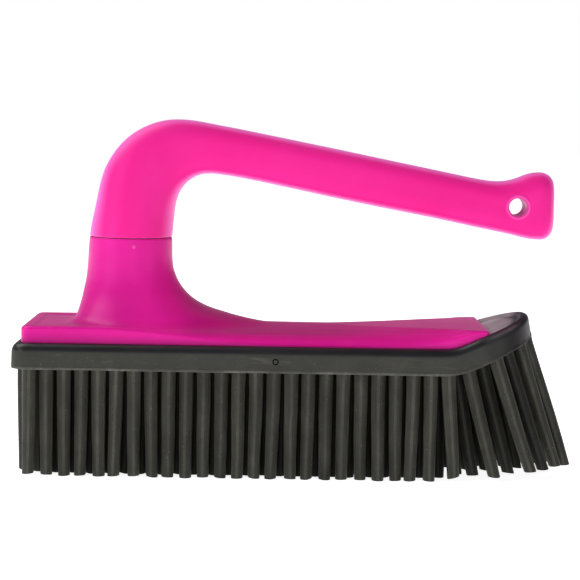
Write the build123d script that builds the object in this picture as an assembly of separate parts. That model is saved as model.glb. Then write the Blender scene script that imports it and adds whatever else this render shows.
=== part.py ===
"""Rubber-bristle hand brush with a bent, swivelling grip.

Frame: +X along the brush towards the swept-up toe, +Z up, Y=0 is the plane
of symmetry.  Z=0 is the plane of the bristle tips, X=0 and Y=0 are the middle
of the whole brush's length and width.  All sizes in millimetres.

Heights below are drawn from a datum LIFT above the bristle tips; write()
moves every piece up by LIFT, so that the finished parts stand on Z=0.
"""
from build123d import *
from math import cos, hypot, pi, radians, sin
import os

os.makedirs("parts", exist_ok=True)

LIFT = 1.4                             # height of the drawing datum above the bristle tips
WIDE = 50.0                            # half width of cutting boxes, past every side
THROUGH = (80.0, 130.0)                # heights of a cut right through the swivel

# plate: the board the rubber head is stretched over
PLATE_X0, PLATE_X1 = -120.5, 87.0
PLATE_HALF = 33.5                      # half width
PLATE_TOP = 65.5
PLATE_BOTTOM = 50.5                    # underside, on the rubber floor
PLATE_WALL = 3.0
PLATE_CORNER, PLATE_INNER_CORNER = 3.0, 1.5
PLATE_OVER = 1.0                       # the lofted block is larger than its plan by this
BEAD_X1 = 70.0                         # the bead round the plate's side follows the plan to here
BEAD_OUT = 0.8                         # how far it stands out
BEAD_Z, BEAD_H = 51.6, 1.8             # its underside and height
RIB_X = (-106, -34, -10, 14, 38, 58)   # cross ribs
RIB_LONG_X = ((PLATE_X0 + 1, -98), (-28, 70))    # ends of the ribs along Y=0
RIB_HALF = 0.9                         # half thickness
PANEL_X0, PANEL_X1 = -115.0, -102.0    # recessed panel in the plate's top at the heel
PANEL_HALF, PANEL_DEPTH = 25.0, 0.5
PIP_AT, PIP_R = (-71.6, -18.85, 100.2), 0.6      # pip on the neck's -Y side

# rubber head
RUB_X0 = -124.6                        # heel
RUB_HALF = 37.5                        # half width
RUB_BOTTOM = 46.5                      # lower edge of the skirt, roots of the bristles
RUB_CORNER = 7.0
RIM_Z = 58.0                           # top of the rim
RIM_R = 3.9                            # rounding of the rim
PAD_T = PLATE_BOTTOM - RUB_BOTTOM      # thickness of the pad under the plate
FIT_GAP = 0.05                         # gap between plate and rubber
BEND_X = 74.0                          # where the toe starts to rise
JOIN_X = BEND_X - 2.0                  # where the flat part and the toe are joined
FLAT_X1 = BEND_X + 6.0                 # end of the flat blank before it is trimmed
TOE_DEG = 25.0                         # slope of the toe
TOE_SLOPE = radians(TOE_DEG)
TOE_LEN = 37.7                         # length of the toe along its slope
TOE_NOSE = 25.7                        # length of the rounded (elliptical) nose
NOSE_START = TOE_LEN - TOE_NOSE        # where the nose starts, along the slope
TOE_BACK = -12.0                       # back end of the toe blank, along the slope
TOE_THICK = 10.6                       # thickness of the toe, square to its slope

# bristles
BR_PITCH_X, BR_PITCH_Y = 7.745, 8.0
BR_ROWS = 9
BR_ROOT_R, BR_TIP_R = 3.7, 2.9         # corner radii of the hexagon
BR_FIRST_X = -116.6
BR_COUNT_X = 25       # in a full row; rows between start half a pitch earlier and have one more
BR_SINK = 1.2                          # how far a bristle starts inside the pad
TOE_X = ((78.1, 89.8, 101.5), (84.3, 95.0, 105.2))   # on the toe: full rows, rows between
TOE_INSET = 2.6                        # toe bristles stay this far inside the toe's outline
TOE_ROOT_UP = 0.4                      # their roots are this far above the toe's underside
TOE_TIP_Z = 4.8                        # they end up to this far above the straight ones
TIP_X0, TIP_LEN = 72.0, 16.0           # where that rise starts and the length it builds up over
FAN_DEG = 17.2                         # greatest lean of the bristles
FAN_X0, FAN_LEN = 64.0, 20.0           # where the lean starts and the length it builds up over

# neck and swivel
AXIS_X = -74.2                         # swivel axis (vertical)
SEAM_Z = 103.7                         # top of the neck
SEAM_GAP = 0.3                         # gap between neck and grip
NECK_WALL = 3.0
SOCKET_R = 14.5                        # recess in the top of the neck
DECK_TOP, DECK_BOT = 97.7, 92.7        # bearing deck across the neck
SPIGOT_R = 6.0
RUN_CLEAR = 0.05                       # running clearance
THRUST_T = 1.2
THRUST_TOP = DECK_TOP + THRUST_T
THRUST_BORE_CLEAR, THRUST_RIM_CLEAR = 0.2, 0.4   # radial
HUB_FOOT_CLEAR = 0.3                   # radial, hub foot in the socket
HUB_R, HUB_TOP = 13.0, 118.0
HUB_Z0 = SEAM_Z + 1.0                  # underside of the hub's upper cylinder
HUB_FOOT_TOP = SEAM_Z + 1.3
HUB_FLANGE_R, HUB_FLANGE_RISE = 14.0, 2.5        # rise of its top above the collar
COLLAR_Z0, COLLAR_Z1 = 106.0, 111.0    # collar moulded inside the grip halves
COLLAR_R = 16.4
COLLAR_CLEAR = 0.1                     # round the hub and each side of the key
KEY_W, KEY_HALF_LEN = 4.0, 14.6
KEY_END_GAP = 0.2                      # between the key and the collar's top and bottom planes
GROOVE_Z, GROOVE_HALF = 101.6, 1.3     # ring groove round the hub foot: middle, half height
GROOVE_R = 12.1
RING_R, RING_WIRE_R = 13.27, 1.15      # friction ring
BOLT_R = 3.0
BOLT_HEAD_AF, BOLT_HEAD_H = 10.0, 4.0  # across flats (the nut too), height
BOLT_HOLE_CLEAR, NUT_CLEAR, WASHER_CLEAR = 0.1, 0.05, 0.15
NUT_Z, NUT_H = 111.0, 6.0
NUT_POCKET_GROW = 0.2                  # added across flats
WAVE_H = 1.5                           # height taken by the wave washer
WAVE_Z = DECK_BOT - WAVE_H
WAVE_T, WAVE_R, WAVE_HALF_W = 0.4, 8.5, 1.7      # strip thickness, mean radius, half width
WAVE_AMP = 0.96 * (WAVE_H - WAVE_T) / 2
WAVE_COUNT, WAVE_POINTS = 3, 36
WASHER_T, WASHER_R = 1.2, 11.0
WASHER_Z = WAVE_Z - WASHER_T

# grip
GRIP_WALL = 2.8
GRIP_Z0 = SEAM_Z + SEAM_GAP            # lower end
GRIP_HALF = 11.0                       # half width of its long straight part
HOLLOW_Z0 = 101.0                      # the hollow starts below the grip's lower end
HANG_X, HANG_Z, HANG_R = 101.06, 120.35, 4.0     # hang hole
HANG_BOSS_R, HANG_BOSS_LEN = 6.6, 26.0
MOUTH_R, MOUTH_H = HANG_R + 2.2, 2.4   # cone at each mouth: wide end, height
POST_XZ = ((-8.0, 139.9), (60.0, 126.9))         # posts joining the two halves
POST_R, POST_LEN = 3.4, 13.0
PIN_R, PIN_Y = 1.5, 1.5                # pins on the near posts: radius, middle
PIN_HOLE_R, PIN_HOLE_Y = 1.55, 2.4     # holes in the far posts
PIN_LEN = 5.0                          # of pins and holes

# (outer x, outer z, inner x, inner z, half width, squareness) round the bend
GRIP = [
    (-92.95, GRIP_Z0, -55.45, GRIP_Z0, 18.75, 2.00),
    (-92.16, 109.6, -55.00, 110.0, 18.45, 2.05),
    (-91.05, 115.1, -54.55, 115.0, 18.00, 2.12),
    (-89.93, 120.6, -54.05, 118.6, 17.40, 2.20),
    (-88.60, 127.2, -53.30, 121.6, 16.70, 2.30),
    (-86.41, 134.5, -52.46, 124.0, 15.90, 2.40),
    (-82.30, 141.9, -51.30, 126.1, 15.10, 2.50),
    (-76.61, 148.4, -50.15, 127.6, 14.30, 2.60),
    (-68.30, 153.9, -48.80, 129.0, 13.40, 2.75),
    (-59.20, 156.9, -47.20, 130.3, 12.70, 2.90),
    (-51.38, 157.4, -45.20, 131.5, 12.10, 3.00),
    (-43.86, 156.7, -42.40, 132.6, 11.60, 3.10),
    (-36.37, 155.4, -38.30, 133.0, 11.25, 3.20),
    (-28.89, 154.1, -32.23, 132.5, 11.05, 3.20),
    (-13.92, 151.35, -17.87, 130.15, GRIP_HALF, 3.20),
    (23.43, 144.25, 19.31, 122.75, GRIP_HALF, 3.20),
    (53.21, 138.47, 49.18, 117.16, GRIP_HALF, 3.20),
    (75.64, 134.10, 72.20, 112.80, GRIP_HALF, 3.20),
    (85.50, 132.30, 84.00, 110.40, GRIP_HALF, 3.20),
    (94.46, 131.80, 94.20, 108.45, GRIP_HALF, 3.20),
    (101.30, 133.10, 101.50, 106.90, GRIP_HALF, 3.20),
    (108.16, 135.20, 108.00, 105.75, GRIP_HALF, 3.20),
    (112.97, 135.68, 112.60, 105.60, 10.9, 3.20),
    (115.60, 134.95, 115.10, 106.30, 10.5, 3.10),
    (117.50, 133.50, 117.00, 107.60, 9.70, 3.00),
    (118.60, 131.80, 118.10, 109.50, 8.60, 2.90),
    (119.10, 129.60, 118.70, 112.00, 7.20, 2.80),
]

# (height, heel side x, toe side x, half width, squareness heel, squareness toe) of the neck
NECK = [
    (SEAM_Z, -92.95, -55.45, 18.75, 2.0, 2.0),
    (100.0, -93.30, -55.30, 18.85, 2.0, 2.0),
    (95.8, -93.54, -55.26, 19.0, 2.0, 2.0),
    (90.3, -93.86, -54.75, 19.3, 2.0, 2.05),
    (84.8, -94.44, -52.88, 20.2, 2.0, 2.2),
    (79.6, -95.50, -49.50, 22.0, 2.05, 2.35),
    (75.5, -96.40, -45.10, 24.2, 2.1, 2.4),
    (72.0, -97.30, -38.60, 26.8, 2.2, 2.3),
    (69.2, -98.10, -29.30, 29.2, 2.3, 2.05),
    (66.8, -98.80, -18.60, 31.2, 2.4, 1.75),
    (64.0, -99.50, -12.00, 32.6, 2.5, 1.6),
    (59.5, -100.0, -10.00, 33.3, 2.6, 1.6),
]

# (x, half width of the flat top, height of the long side's edge) along the plate
PLATE = [
    (PLATE_X0 - PLATE_OVER, 33.0, 65.0),
    (-96.0, 32.8, 65.0),
    (-66.0, 26.0, 63.6),
    (-34.0, 8.0, 60.6),
    (-12.0, 0.8, 59.2),
    (14.0, 0.8, 58.8),
    (PLATE_X1 + PLATE_OVER, 33.1, 65.2),
]


# ---------------------------------------------------------------- sections
def oval(centre, axis, half_pos, half_neg, half_width, square_pos, square_neg, count=7):
    """Closed oval of four splines, its length along axis and its width along Y.

    The two ends along axis have their own half lengths and squareness (2 is an ellipse)."""
    def power(value, square):
        return 0.0 if abs(value) < 1e-9 else abs(value) ** (2.0 / square)

    across = Vector(0, 1, 0)
    turn = [across, axis * -1, across * -1, axis, across]    # tangents between the quarters
    edges = []
    for q in range(4):
        x_sign, y_sign = (1 if q in (0, 3) else -1), (1 if q < 2 else -1)
        half, square = (half_pos, square_pos) if x_sign > 0 else (half_neg, square_neg)
        points = []
        for i in range(count + 1):
            angle = (q + i / count) * pi / 2
            points.append(centre + axis * (power(cos(angle), square) * x_sign * half)
                          + across * (power(sin(angle), square) * y_sign * half_width))
        edges.append(Edge.make_spline(points, tangents=[turn[q], turn[q + 1]]))
    return Wire(edges)


def grip_section(row, inset):
    outer_x, outer_z, inner_x, inner_z, half_width, square = row
    length = hypot(inner_x - outer_x, inner_z - outer_z)
    axis = Vector((inner_x - outer_x) / length, 0, (inner_z - outer_z) / length)
    centre = Vector((outer_x + inner_x) / 2, 0, (outer_z + inner_z) / 2)
    half = length / 2 - inset
    return oval(centre, axis, half, half, half_width - inset, square, square)


def neck_section(row, inset):
    z, heel_x, toe_x, half_width, heel_square, toe_square = row
    return oval(Vector(AXIS_X, 0, z), Vector(1, 0, 0), toe_x - AXIS_X - inset,
                AXIS_X - heel_x - inset, half_width - inset, toe_square, heel_square)


def plate_section(row, inset):
    x, flat, edge_z = row
    half = PLATE_HALF + PLATE_OVER - inset
    top = PLATE_TOP - inset
    flat = max(flat - inset * (0.9 if flat > 5 else 0.0), 0.6)
    edge_z -= inset
    bottom = PLATE_BOTTOM - (1.0 if inset else 0.0)    # the hollow cuts through the underside
    outline = [(-half, bottom), (half, bottom), (half, edge_z), (flat, top), (-flat, top),
               (-half, edge_z)]
    return Wire.make_polygon([Vector(x, y, z) for y, z in outline], close=True)


def loft(section, rows, inset=0.0, ruled=False):
    return Solid.make_loft([section(row, inset) for row in rows], ruled=ruled)


# ---------------------------------------------------------------- simple solids
def cyl(radius, z0, z1):
    """Cylinder on the swivel axis."""
    return Pos(AXIS_X, 0, (z0 + z1) / 2) * Cylinder(radius, z1 - z0)


def ring(inner_r, outer_r, z0, z1):
    return cyl(outer_r, z0, z1) - cyl(inner_r, z0 - 1, z1 + 1)


def hex_prism(across_flats, z, height):
    """Hexagonal prism on the swivel axis."""
    outline = RegularPolygon(across_flats / 2, 6, major_radius=False)
    return extrude(Pos(AXIS_X, 0, z) * outline, amount=height)


def cross_cyl(radius, length, x, y, z):
    """Cylinder along Y, centred on (x, y, z)."""
    return Pos(x, y, z) * Rot(90, 0, 0) * Cylinder(radius, length)


def box(x0, x1, y0, y1, z0, z1):
    return Pos((x0 + x1) / 2, (y0 + y1) / 2, (z0 + z1) / 2) * Box(x1 - x0, y1 - y0, z1 - z0)


def slab(x0, x1, half_width, corner, z, height):
    """Slab with rounded corners in plan."""
    outline = RectangleRounded(x1 - x0, 2 * half_width, corner)
    return extrude(Pos((x0 + x1) / 2, 0, z) * outline, amount=height)


def plate_slab(grow, corner, z):
    """The plate's plan, grown all round, from z up past its top."""
    return slab(PLATE_X0 - grow, PLATE_X1 + grow, PLATE_HALF + grow, corner, z, 40)


def bead(gap=0.0):
    out = BEAD_OUT + gap
    return slab(PLATE_X0 - out, BEAD_X1 + out, PLATE_HALF + out, PLATE_CORNER + BEAD_OUT,
                BEAD_Z - gap, BEAD_H + 2 * gap)


def below_toe_floor():
    """Block whose top lies on the sloping floor of the toe."""
    return (Pos(BEND_X, 0, RUB_BOTTOM) * Rot(0, -TOE_DEG, 0) * Pos(60, 0, PAD_T - 20)
            * Box(140, 2 * WIDE, 40))


def largest(shape):
    return max(shape.solids(), key=lambda solid: solid.volume)


def write(name, shape):
    solids = [solid.moved(Location((0, 0, LIFT))) for solid in shape.solids()]
    out = solids[0] if len(solids) == 1 else Compound(solids)
    out.label = name
    export_step(out, "parts/" + name + ".step")


# ---------------------------------------------------------------- rubber head
def flat_blank():
    blank = slab(RUB_X0, FLAT_X1, RUB_HALF, RUB_CORNER, RUB_BOTTOM, RIM_Z - RUB_BOTTOM)
    blank = blank - box(JOIN_X, FLAT_X1 + 1, -WIDE, WIDE, 40, 70)
    rim = [e for e in blank.edges()
           if e.center().Z > RIM_Z - 0.01 and e.center().X < JOIN_X - 1.0]
    return fillet(rim, RIM_R)


def toe_blank():
    # plane of the toe's underside: x along its slope, z square to it
    frame = Plane(origin=(BEND_X, 0, RUB_BOTTOM), x_dir=(cos(TOE_SLOPE), 0, sin(TOE_SLOPE)),
                  z_dir=(-sin(TOE_SLOPE), 0, cos(TOE_SLOPE)))
    nose = EllipticalCenterArc((NOSE_START, 0), TOE_NOSE, RUB_HALF, start_angle=-90, arc_size=180)
    sides = Polyline((NOSE_START, RUB_HALF), (TOE_BACK, RUB_HALF),
                     (TOE_BACK, -RUB_HALF), (NOSE_START, -RUB_HALF))
    outline = Face(Wire([nose] + list(sides.edges())))
    toe = extrude(frame * outline, amount=TOE_THICK, dir=frame.z_dir)

    def on_rim(edge):
        local = frame.to_local_coords(edge.center())
        return local.Z > TOE_THICK - 0.01 and local.X > TOE_BACK + 1.0

    toe = fillet([e for e in toe.edges() if on_rim(e)], RIM_R)
    toe = toe - box(BEND_X - 40, JOIN_X, -WIDE, WIDE, 20, 90)
    # nothing hangs below the skirt's lower edge at the join
    return toe - box(BEND_X - 3, BEND_X + 10, -WIDE, WIDE, 30, RUB_BOTTOM)


def ease(t):
    """Smooth step from 0 to 1."""
    t = max(0.0, min(1.0, t))
    return t * t * (3 - 2 * t)


def bristle(x, y, z, tip_z):
    """Tapered six-sided bristle with corners towards +Y and -Y, root at (x, y, z)."""
    lean = radians(FAN_DEG * ease((x - FAN_X0) / FAN_LEN))
    along = Vector(sin(lean), 0, -cos(lean))
    side = Vector(cos(lean), 0, sin(lean))
    root = Vector(x, y, z)

    def hexagon(centre, radius):
        angles = [pi / 6 + k * pi / 3 for k in range(6)]
        return Wire.make_polygon([centre + side * (radius * cos(a))
                                  + Vector(0, radius * sin(a), 0) for a in angles], close=True)

    tip = root + along * ((z - tip_z) / cos(lean))
    return Solid.make_loft([hexagon(root - along * BR_SINK, BR_ROOT_R), hexagon(tip, BR_TIP_R)],
                           ruled=True)


def outside_nose(u, y):
    """Whether a place u along the toe's slope is too near the nose's outline for a bristle."""
    a, b = TOE_NOSE - TOE_INSET, RUB_HALF - TOE_INSET
    return u > NOSE_START and ((u - NOSE_START) / a) ** 2 + (y / b) ** 2 > 1.0


def all_bristles():
    bristles = []
    for row in range(BR_ROWS):
        between = row % 2
        y = (row - (BR_ROWS - 1) / 2) * BR_PITCH_Y
        first = BR_FIRST_X - between * BR_PITCH_X / 2
        for k in range(BR_COUNT_X + between):
            bristles.append(bristle(first + k * BR_PITCH_X, y, RUB_BOTTOM, -LIFT))
        for x in TOE_X[between]:
            u = (x - BEND_X) / cos(TOE_SLOPE)
            if outside_nose(u, y):
                continue
            z = RUB_BOTTOM + u * sin(TOE_SLOPE) + TOE_ROOT_UP
            tip_z = TOE_TIP_Z * ease((x - TIP_X0) / TIP_LEN) - LIFT
            bristles.append(bristle(x, y, z, tip_z))
    return bristles


def rubber_head():
    head = flat_blank() + toe_blank()
    pocket = plate_slab(FIT_GAP, PLATE_CORNER, PLATE_BOTTOM) - below_toe_floor()
    head = head - pocket - bead(FIT_GAP)
    return head.fuse(*all_bristles())


# ---------------------------------------------------------------- base moulding
def base_moulding():
    """Plate and neck in one hollow moulding."""
    plate = loft(plate_section, PLATE, ruled=True) & plate_slab(0.0, PLATE_CORNER, 40)
    plate = plate - below_toe_floor()
    plate = plate + bead()
    outer = plate + loft(neck_section, NECK)

    inner_neck = loft(neck_section, NECK[1:], NECK_WALL)
    inner_neck = inner_neck - box(-200, 200, -60, 60, DECK_BOT, 120)
    inner_plate = (loft(plate_section, PLATE, PLATE_WALL, ruled=True)
                   & plate_slab(-PLATE_WALL, PLATE_INNER_CORNER, 40))
    base = outer - inner_plate - inner_neck

    rib_plans = [(x - RIB_HALF, x + RIB_HALF, -PLATE_HALF + 1, PLATE_HALF - 1) for x in RIB_X]
    rib_plans += [(x0, x1, -RIB_HALF, RIB_HALF) for x0, x1 in RIB_LONG_X]
    for plan in rib_plans:
        base = base + (box(*plan, PLATE_BOTTOM + 0.4, PLATE_TOP - 1) & outer)

    base = base - cyl(SOCKET_R, DECK_TOP, SEAM_Z + 5)
    base = base - cyl(SPIGOT_R + RUN_CLEAR, DECK_BOT - 5, DECK_TOP + 5)
    base = base - box(PANEL_X0, PANEL_X1, -PANEL_HALF, PANEL_HALF,
                      PLATE_TOP - PANEL_DEPTH, PLATE_TOP + 2)
    base = base + (Pos(*PIP_AT) * Sphere(PIP_R))
    return largest(base)


# ---------------------------------------------------------------- swivel
def swivel_hub():
    hub = cyl(SOCKET_R - HUB_FOOT_CLEAR, THRUST_TOP, HUB_FOOT_TOP)
    hub = hub + cyl(SPIGOT_R, WAVE_Z, THRUST_TOP + 0.5)
    hub = hub + cyl(HUB_R, HUB_Z0, HUB_TOP)
    hub = hub + cyl(HUB_FLANGE_R, COLLAR_Z1 + RUN_CLEAR, COLLAR_Z1 + HUB_FLANGE_RISE)
    hub = hub + box(AXIS_X - KEY_W / 2, AXIS_X + KEY_W / 2, -KEY_HALF_LEN, KEY_HALF_LEN,
                    COLLAR_Z0 + KEY_END_GAP, COLLAR_Z1 - KEY_END_GAP)
    hub = hub - cyl(BOLT_R + BOLT_HOLE_CLEAR, *THROUGH)
    hub = hub - ring(GROOVE_R, 20, GROOVE_Z - GROOVE_HALF, GROOVE_Z + GROOVE_HALF)
    return hub - hex_prism(BOLT_HEAD_AF + NUT_POCKET_GROW, NUT_Z, 10)


def thrust_washer():
    return ring(SPIGOT_R + THRUST_BORE_CLEAR, SOCKET_R - THRUST_RIM_CLEAR, DECK_TOP, THRUST_TOP)


def pivot_bolt():
    bolt = cyl(BOLT_R, WASHER_Z - 0.5, NUT_Z + NUT_H)
    return bolt + hex_prism(BOLT_HEAD_AF, WASHER_Z - BOLT_HEAD_H, BOLT_HEAD_H)


def lock_nut():
    return hex_prism(BOLT_HEAD_AF, NUT_Z, NUT_H) - cyl(BOLT_R + NUT_CLEAR, *THROUGH)


def wave_washer():
    """Spring washer: a flat strip following a wavy circle."""
    def edge(radius, rise):
        angles = [2 * pi * i / WAVE_POINTS for i in range(WAVE_POINTS)]
        points = [Vector(AXIS_X + radius * cos(a), radius * sin(a),
                         WAVE_Z + WAVE_H / 2 + WAVE_AMP * cos(WAVE_COUNT * a) + rise)
                  for a in angles]
        return Wire([Spline(*points, periodic=True)]).edge()

    inner_r, outer_r = WAVE_R - WAVE_HALF_W, WAVE_R + WAVE_HALF_W
    inner_top, outer_top = edge(inner_r, WAVE_T / 2), edge(outer_r, WAVE_T / 2)
    inner_bottom, outer_bottom = edge(inner_r, -WAVE_T / 2), edge(outer_r, -WAVE_T / 2)
    pairs = ((inner_top, outer_top), (inner_bottom, outer_bottom),
             (inner_top, inner_bottom), (outer_top, outer_bottom))
    return Solid(Shell([Face.make_surface_from_curves(*pair) for pair in pairs]))


# ---------------------------------------------------------------- grip
def grip_body(full):
    """Both halves in one: hollow, with the collar round the hub and the hang hole."""
    outer_x, _, inner_x, _, half_width, square = GRIP[0]
    low = (outer_x, HOLLOW_Z0, inner_x, HOLLOW_Z0, half_width, square)
    grip = full - loft(grip_section, [low] + GRIP[:-3], GRIP_WALL)

    collar = ring(HUB_R + COLLAR_CLEAR, COLLAR_R, COLLAR_Z0, COLLAR_Z1)
    slot_half = KEY_W / 2 + COLLAR_CLEAR
    collar = collar - box(AXIS_X - slot_half, AXIS_X + slot_half, -20, 20,
                          COLLAR_Z0 - 1, COLLAR_Z1 + 1)
    grip = grip + collar

    grip = grip + (cross_cyl(HANG_BOSS_R, HANG_BOSS_LEN, HANG_X, 0, HANG_Z) & full)
    grip = grip - cross_cyl(HANG_R, 40, HANG_X, 0, HANG_Z)
    for side in (-1, 1):
        mouth = Rot(90 * side, 0, 0) * Cone(MOUTH_R, HANG_R, MOUTH_H)
        grip = grip - Pos(HANG_X, side * GRIP_HALF, HANG_Z) * mouth
    return grip


def grip_shell(grip, full, side):
    """Half of the grip: near (side -1, at -Y) with pins, far (side 1, at +Y) with holes."""
    half_space = box(-150, 150, *sorted((0, side * 40)), 90, 170)
    shell = grip & half_space
    for x, z in POST_XZ:
        post = cross_cyl(POST_R, POST_LEN, x, side * POST_LEN / 2, z)
        shell = shell + (post & full & half_space)
        if side < 0:
            shell = shell + cross_cyl(PIN_R, PIN_LEN, x, PIN_Y, z)
        else:
            shell = shell - cross_cyl(PIN_HOLE_R, PIN_LEN, x, PIN_HOLE_Y, z)
    return largest(shell)


write("rubber_head", rubber_head())
write("base_moulding", base_moulding())
write("swivel_hub", swivel_hub())
write("thrust_washer", thrust_washer())
write("friction_ring", Pos(AXIS_X, 0, GROOVE_Z) * Torus(RING_R, RING_WIRE_R))
write("bolt_washer", ring(BOLT_R + WASHER_CLEAR, WASHER_R, WASHER_Z, WAVE_Z))
write("pivot_bolt", pivot_bolt())
write("lock_nut", lock_nut())
write("wave_washer", wave_washer())

grip_full = loft(grip_section, GRIP)
grip_hollow = grip_body(grip_full)
write("grip_shell_near", grip_shell(grip_hollow, grip_full, -1))
write("grip_shell_far", grip_shell(grip_hollow, grip_full, 1))
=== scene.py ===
"""Rubber-bristle hand brush: a curved grip in two halves, a base moulding with its neck, and a
rubber head with nine rows of bristles, plus floor, lights and camera.

The brush lies along X, heel at -X and toe at +X, and Z is up. The grip halves meet at y = 0; the
near half is on the camera's side, -Y. Meshes are drawn in mm, with heights from a datum LIFT
above the floor. Shader distances, lights and camera are in metres.
"""
import bpy
import math
import numpy as np
from math import pi
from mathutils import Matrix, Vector
from mathutils.geometry import delaunay_2d_cdt


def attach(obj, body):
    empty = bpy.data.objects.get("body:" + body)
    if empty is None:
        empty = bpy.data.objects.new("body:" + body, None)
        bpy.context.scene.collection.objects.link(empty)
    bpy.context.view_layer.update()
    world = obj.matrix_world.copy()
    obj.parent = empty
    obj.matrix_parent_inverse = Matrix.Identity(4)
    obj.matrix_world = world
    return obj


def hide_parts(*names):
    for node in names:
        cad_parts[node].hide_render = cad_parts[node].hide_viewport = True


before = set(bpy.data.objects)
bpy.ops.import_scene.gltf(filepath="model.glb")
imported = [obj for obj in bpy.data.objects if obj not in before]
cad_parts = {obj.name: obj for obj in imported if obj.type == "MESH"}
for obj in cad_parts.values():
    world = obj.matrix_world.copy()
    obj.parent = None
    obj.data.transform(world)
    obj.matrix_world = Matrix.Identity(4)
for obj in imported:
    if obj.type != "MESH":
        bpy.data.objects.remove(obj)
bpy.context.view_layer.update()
MM = 0.001
LIFT = 1.4
TOE_ANGLE = math.radians(25)      # upward slope of the toe
HANG_X, HANG_Z = 101.06, 120.35   # hang hole through the grip


# ------------------------------------------------------------------ curves
def smooth01(t):
    t = np.clip(t, 0.0, 1.0)
    return t * t * (3 - 2 * t)


def natural_spline(stations, values, at):
    """Natural cubic spline through (stations, values), evaluated at `at`."""
    count = len(stations)
    gap = np.diff(stations)
    system, right = np.eye(count), np.zeros(count)
    for i in range(1, count - 1):
        system[i, i - 1:i + 2] = gap[i - 1], 2 * (gap[i - 1] + gap[i]), gap[i]
        right[i] = 6 * ((values[i + 1] - values[i]) / gap[i]
                        - (values[i] - values[i - 1]) / gap[i - 1])
    bend = np.linalg.solve(system, right)
    k = np.clip(np.searchsorted(stations, at) - 1, 0, count - 2)
    after, before, width = stations[k + 1] - at, at - stations[k], gap[k]
    return ((bend[k] * after ** 3 + bend[k + 1] * before ** 3) / (6 * width)
            + (values[k] / width - bend[k] * width / 6) * after
            + (values[k + 1] / width - bend[k + 1] * width / 6) * before)


def monotone(x, y, at):
    """Monotone cubic through (x, y), x rising, held level beyond its ends."""
    x, y, at = np.asarray(x, float), np.asarray(y, float), np.asarray(at, float)
    gap = np.diff(x)
    rise = np.diff(y) / gap
    slope = np.zeros(len(x))
    slope[0], slope[-1] = rise[0], rise[-1]
    for i in range(1, len(x) - 1):
        if rise[i - 1] * rise[i] > 0:
            left, right = 2 * gap[i] + gap[i - 1], gap[i] + 2 * gap[i - 1]
            slope[i] = (left + right) / (left / rise[i - 1] + right / rise[i])
    k = np.clip(np.searchsorted(x, at) - 1, 0, len(x) - 2)
    t = np.clip((at - x[k]) / gap[k], 0, 1)
    t2, t3 = t * t, t * t * t
    return ((2 * t3 - 3 * t2 + 1) * y[k] + (t3 - 2 * t2 + t) * gap[k] * slope[k]
            + (-2 * t3 + 3 * t2) * y[k + 1] + (t3 - t2) * gap[k] * slope[k + 1])


def curve(table, at):
    """Monotone cubic through a table of (x, y) pairs."""
    return monotone(*zip(*table), at)


def path_length(x, y, extra=0.0):
    """Running length along a polyline; extra keeps it rising where points coincide."""
    return np.concatenate([[0], np.cumsum(np.hypot(np.diff(x), np.diff(y)) + extra)])


def neighbour_mean(values):
    return 0.5 * values + 0.25 * (np.roll(values, 1) + np.roll(values, -1))


def round_angles(count):
    return np.linspace(0, 2 * pi, count + 1)[:-1]


class Outline:
    """Closed outline in plan, collected piece by piece with its outward normals."""

    def __init__(self, spacing):
        self.points, self.normals, self.spacing = [], [], spacing

    def line(self, start, end, normal):
        dx, dy = end[0] - start[0], end[1] - start[1]
        count = max(2, int(round(math.hypot(dx, dy) / self.spacing)))
        for i in range(count):
            t = i / count
            self.points.append((start[0] + dx * t, start[1] + dy * t))
            self.normals.append(normal)

    def arc(self, centre, radius, start, end, count):
        for i in range(count):
            angle = math.radians(start + (end - start) * i / count)
            cos, sin = math.cos(angle), math.sin(angle)
            self.points.append((centre[0] + radius * cos, centre[1] + radius * sin))
            self.normals.append((cos, sin))

    def arrays(self):
        return np.array(self.points), np.array(self.normals)


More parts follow.
